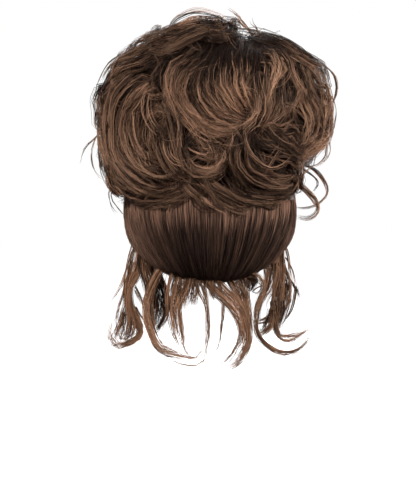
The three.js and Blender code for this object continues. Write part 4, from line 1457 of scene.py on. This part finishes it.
def looseGuide(form, dice):
    upward = dice.uniform(form["lowest"], 1)
    turn = dice.uniform(0, math.tau)
    flat = math.sqrt(1 - upward ** 2)
    away = np.array([flat * math.sin(turn), -flat * math.cos(turn), upward])
    spot = crownForm["centre"] + looseForm["start"] * away
    heading = dice.normal(size=3) + np.array([0, 0, looseForm["fall"]])
    bend = dice.choice([-1, 1]) / dice.uniform(*form["radius"])
    step = dice.uniform(*form["length"]) / looseForm["steps"]
    path = []
    for level in mix(*form["levels"], np.sin(np.linspace(0, math.pi, looseForm["steps"] + 1))):
        spot = atLevel(spot, level)
        path.append(spot)
        out = crownOutward(spot)
        heading = unit(heading - out * (heading @ out))
        heading = heading + np.cross(out, heading) * bend * step
        spot = spot + unit(heading) * step
    points = drawnIn(evenly(np.array(path), form["points"]))
    darkened = mix(1, darkTop["share"], smooth((points[:, 2].max() - darkTop["from"]) / darkTop["over"]))
    tone = dice.uniform(*form["tones"]) * darkened
    return makeGuide(
        points, crownOutward(points), form["width"], form["depth"], looseForm["rootShare"],
        looseForm["tipShare"], form["strandsToGuide"], tone, looseForm["shade"])


def growLooseHair():
    for name, form in looseHair.items():
        dice = np.random.default_rng(form["seed"])
        guides = [looseGuide(form, dice) for _ in range(form["count"])]
        finishPiece(growStrands(name, guides, form["strands"], materials["curledHair"]))
    print("loose hair:", ", ".join(looseHair))


growLooseHair()


# Wisps that stand clear of the outline, as the free locks are drawn

wisps = {
    "crown_wisps": [
        ((14, 34), 1.5, 0.3, [(-104, 9), (-113, 0), (-122, -8), (-129, -14), (-134, -22), (-137, -34)]),
        ((36, 18), 2, 0.4, [(-117, -8), (-117, -20), (-116, -31), (-113, -44), (-108, -52)]),
        ((4, 30), 1.5, 0.4, [(-121, -6), (-125, -20), (-125, -31), (-123, -41), (-118, -49), (-112, -52)]),
        ((18, 44), 2, 0.2, [(-118, 26), (-121, 18), (-122, 8), (-118, -1)]),
        ((20, 20), 1.5, 0.3, [(-103, -58), (-105, -65), (-104, -73), (-99, -80), (-94, -86), (-89, -90)]),
        ((20, 20), 1.2, 0.4, [(-104, -56), (-107, -65), (-106, -74), (-103, -82), (-98, -88)]),
        ((2, 36), 1.5, 0.4, [(-90, 76), (-96, 78), (-103, 74), (-109, 68), (-115, 57), (-120, 45),
            (-121, 33)]),
        ((44, 20), 1.2, 0.5, [(-98, 70), (-104, 69), (-111, 60), (-116, 51)]),
        ((40, 12), 2.5, 0.3, [(44, 100), (40, 107), (35, 113), (31, 119), (25, 125), (19, 130)]),
        ((22, 44), 1.5, 0.4, [(52, 100), (49, 108), (45, 113), (44, 119)]),
        ((48, 24), 3, 0.3, [(22, 102), (21, 111), (24, 117), (29, 116), (32, 110), (36, 104)]),
        ((20, 40), 2, 0.3, [(22, 112), (28, 115), (35, 109), (44, 103)]),
        ((34, 6), 1.5, 0.4, [(-32, 110), (-25, 116), (-15, 120), (-4, 119), (6, 113)]),
        ((2, 34), 6, 0.06, [(104, 76), (114, 73), (125, 65), (132, 56), (134, 45), (132, 34), (126, 26)]),
        ((38, 8), 2, 0.5, [(128, 36), (132, 27), (133, 17), (131, 6), (127, -4), (125, -15)]),
    ],
    "nape_wisps": [
        ((18, 30), 2, 0.6, [(-79, -122), (-85, -134), (-90, -148), (-95, -162), (-102, -176)]),
        ((18, 30), 1.5, 0.6, [(-83, -128), (-89, -149), (-94, -165), (-101, -175), (-105, -183)]),
        ((16, 16), 1.5, 0.5, [(80, -134), (87, -146), (90, -157), (92, -168)]),
        ((16, 16), 4.5, 0.45, [(81, -154), (88, -163), (92, -169), (96, -176)]),
        ((16, 20), 4, 0.6, [(91, -164), (89, -179), (85, -191), (78, -201), (74, -207)]),
        ((78, 80), 1.5, 0.6, [(-4, -242), (-14, -249), (-24, -249), (-36, -246), (-47, -240)]),
    ],
}
wispClumps = 3


def growWisps():
    for order, (name, rows) in enumerate(wisps.items()):
        seed = freeLocks["seeds"]["wisps"] + order * seedStep
        settings = dict(freeLocks["strands"], Clumps=wispClumps, Seed=seed)
        guides = [freeGuide(row, freeLocks["steps"]["nape"]) for row in rows]
        finishPiece(growStrands(name, guides, settings, materials["tendrilHair"]))
    print("wisps:", ", ".join(wisps))


growWisps()


# Net cap inside, with rows of sewn wefts

netCap = {
    "rows": 67,
    "turns": 61,
    "firstRow": 0.004,  # share of the way from the top to the edge
    "wefts": 11,
    "weftHeight": 0.7,
    "weftPower": 6,
    "threads": (90, 240, 1),
    "weave": {"Scale": 1, "Randomness": 0.25},
    "ramp": [(0.2, (22, 16, 14)), (0.6, (62, 47, 40))],
    "bump": 0.6 * mm,
    "roughness": 0.85,
}


def makeNetMaterial(look):
    material, tree, shader = newMaterial("capNet")
    place = addNode(tree, "ShaderNodeUVMap", uv_map=uvName)
    threads = addNode(tree, "ShaderNodeMapping", {"Vector": place.outputs[0], "Scale": look["threads"]})
    weave = addNode(tree, "ShaderNodeTexVoronoi", {"Vector": threads.outputs[0], **look["weave"]})
    height = weave.outputs["Distance"]
    bump = addNode(tree, "ShaderNodeBump", {"Height": height, "Distance": look["bump"]})
    setInputs(tree, shader, {
        "Base Color": addRamp(tree, height, look["ramp"]),
        "Normal": bump.outputs[0],
        "Roughness": look["roughness"],
    })
    return material


def makeNetCap():
    shares = np.linspace(netCap["firstRow"], 1, netCap["rows"])
    share, turn = np.meshgrid(shares, np.linspace(0, math.tau, netCap["turns"]), indexing="ij")
    polar = share * np.radians(roundTheHead(turn, capForm["edge"]))
    ridge = np.maximum(np.cos(share * netCap["wefts"] * math.tau), 0) ** netCap["weftPower"]
    outer = headPoint(turn, polar, np.full(turn.shape, capForm["wall"]))[0]
    inner = headPoint(turn, polar, -netCap["weftHeight"] * ridge)[0]
    piece = gridShell("cap_net", outer, inner, makeNetMaterial(netCap), wrapped=True)
    finishPiece(piece, ["cap"])
    print("net cap:", netCap["wefts"], "wefts")


makeNetCap()


# Floor and light

studio = {  # in metres
    "floor": -0.40,
    "floorSize": 14,
    "paper": (236, 236, 236),
    "paperRoughness": 0.9,
    "paperGlow": 0.85,
    "white": (1, 1, 1, 1),
    "world": (0.1, 0.34),  # from below and from above
    "worldRange": (-0.5, 0.8),  # heights between which it turns
    "lights": [  # name, place, aim, size, watts
        ("keyLight", (-1.1, -1.4, 1.15), (0, 0, -0.05), 0.6, 54),
        ("fillLight", (1.5, -1.0, 0.45), (0, 0, -0.08), 0.9, 38),
        ("topLight", (0.2, 0.9, 1.5), (0, 0, 0.02), 1.0, 5),
        ("frontLight", (0.6, 1.7, 0.5), (0, 0, -0.05), 1.2, 24),
    ],
}


def makeFloor():
    floor = bpy.data.meshes.new("floor")
    half = studio["floorSize"] / 2
    low = studio["floor"]
    corners = [(-half, -half, low), (half, -half, low), (half, half, low), (-half, half, low)]
    floor.from_pydata(corners, [], [(0, 1, 2, 3)])
    material, tree, shader = newMaterial("paper")
    setInputs(tree, shader, {
        "Base Color": linear(*studio["paper"]),
        "Roughness": studio["paperRoughness"],
        "Emission Color": studio["white"],
        "Emission Strength": studio["paperGlow"],
    })
    floor.materials.append(material)
    stage = addObject("floor", floor)
    stage.visible_diffuse = False
    stage.visible_glossy = False


# Light from all round, more from above, and plain white where the camera looks past the floor
def makeWorld():
    world = bpy.data.worlds.new("studio")
    world.use_nodes = True
    sky = world.node_tree
    way = addNode(sky, "ShaderNodeTexCoord")
    upward = addNode(sky, "ShaderNodeSeparateXYZ", {0: way.outputs["Generated"]})
    below, above = studio["world"]
    low, high = studio["worldRange"]
    glow = addNode(
        sky, "ShaderNodeMapRange",
        {"Value": upward.outputs[2], "From Min": low, "From Max": high, "To Min": below, "To Max": above})
    ray = addNode(sky, "ShaderNodeLightPath")
    level = addNode(
        sky, "ShaderNodeMapRange",
        {"Value": ray.outputs["Is Camera Ray"], "To Min": glow.outputs[0], "To Max": 1.0})
    setInputs(sky, sky.nodes["Background"], {0: studio["white"], 1: level.outputs[0]})
    bpy.context.scene.world = world


def makeStudio():
    makeFloor()
    makeWorld()
    bpy.context.scene.view_settings.view_transform = "Standard"
    for name, place, aim, size, watts in studio["lights"]:
        light = bpy.data.lights.new(name, "AREA")
        light.size = size
        light.energy = watts
        placeAimed(addObject(name, light), place, aim)
    print("studio:", len(studio["lights"]), "lights")


makeStudio()

print("triangles:", sum(triangleCount.values()), "most:", max(triangleCount.values()))
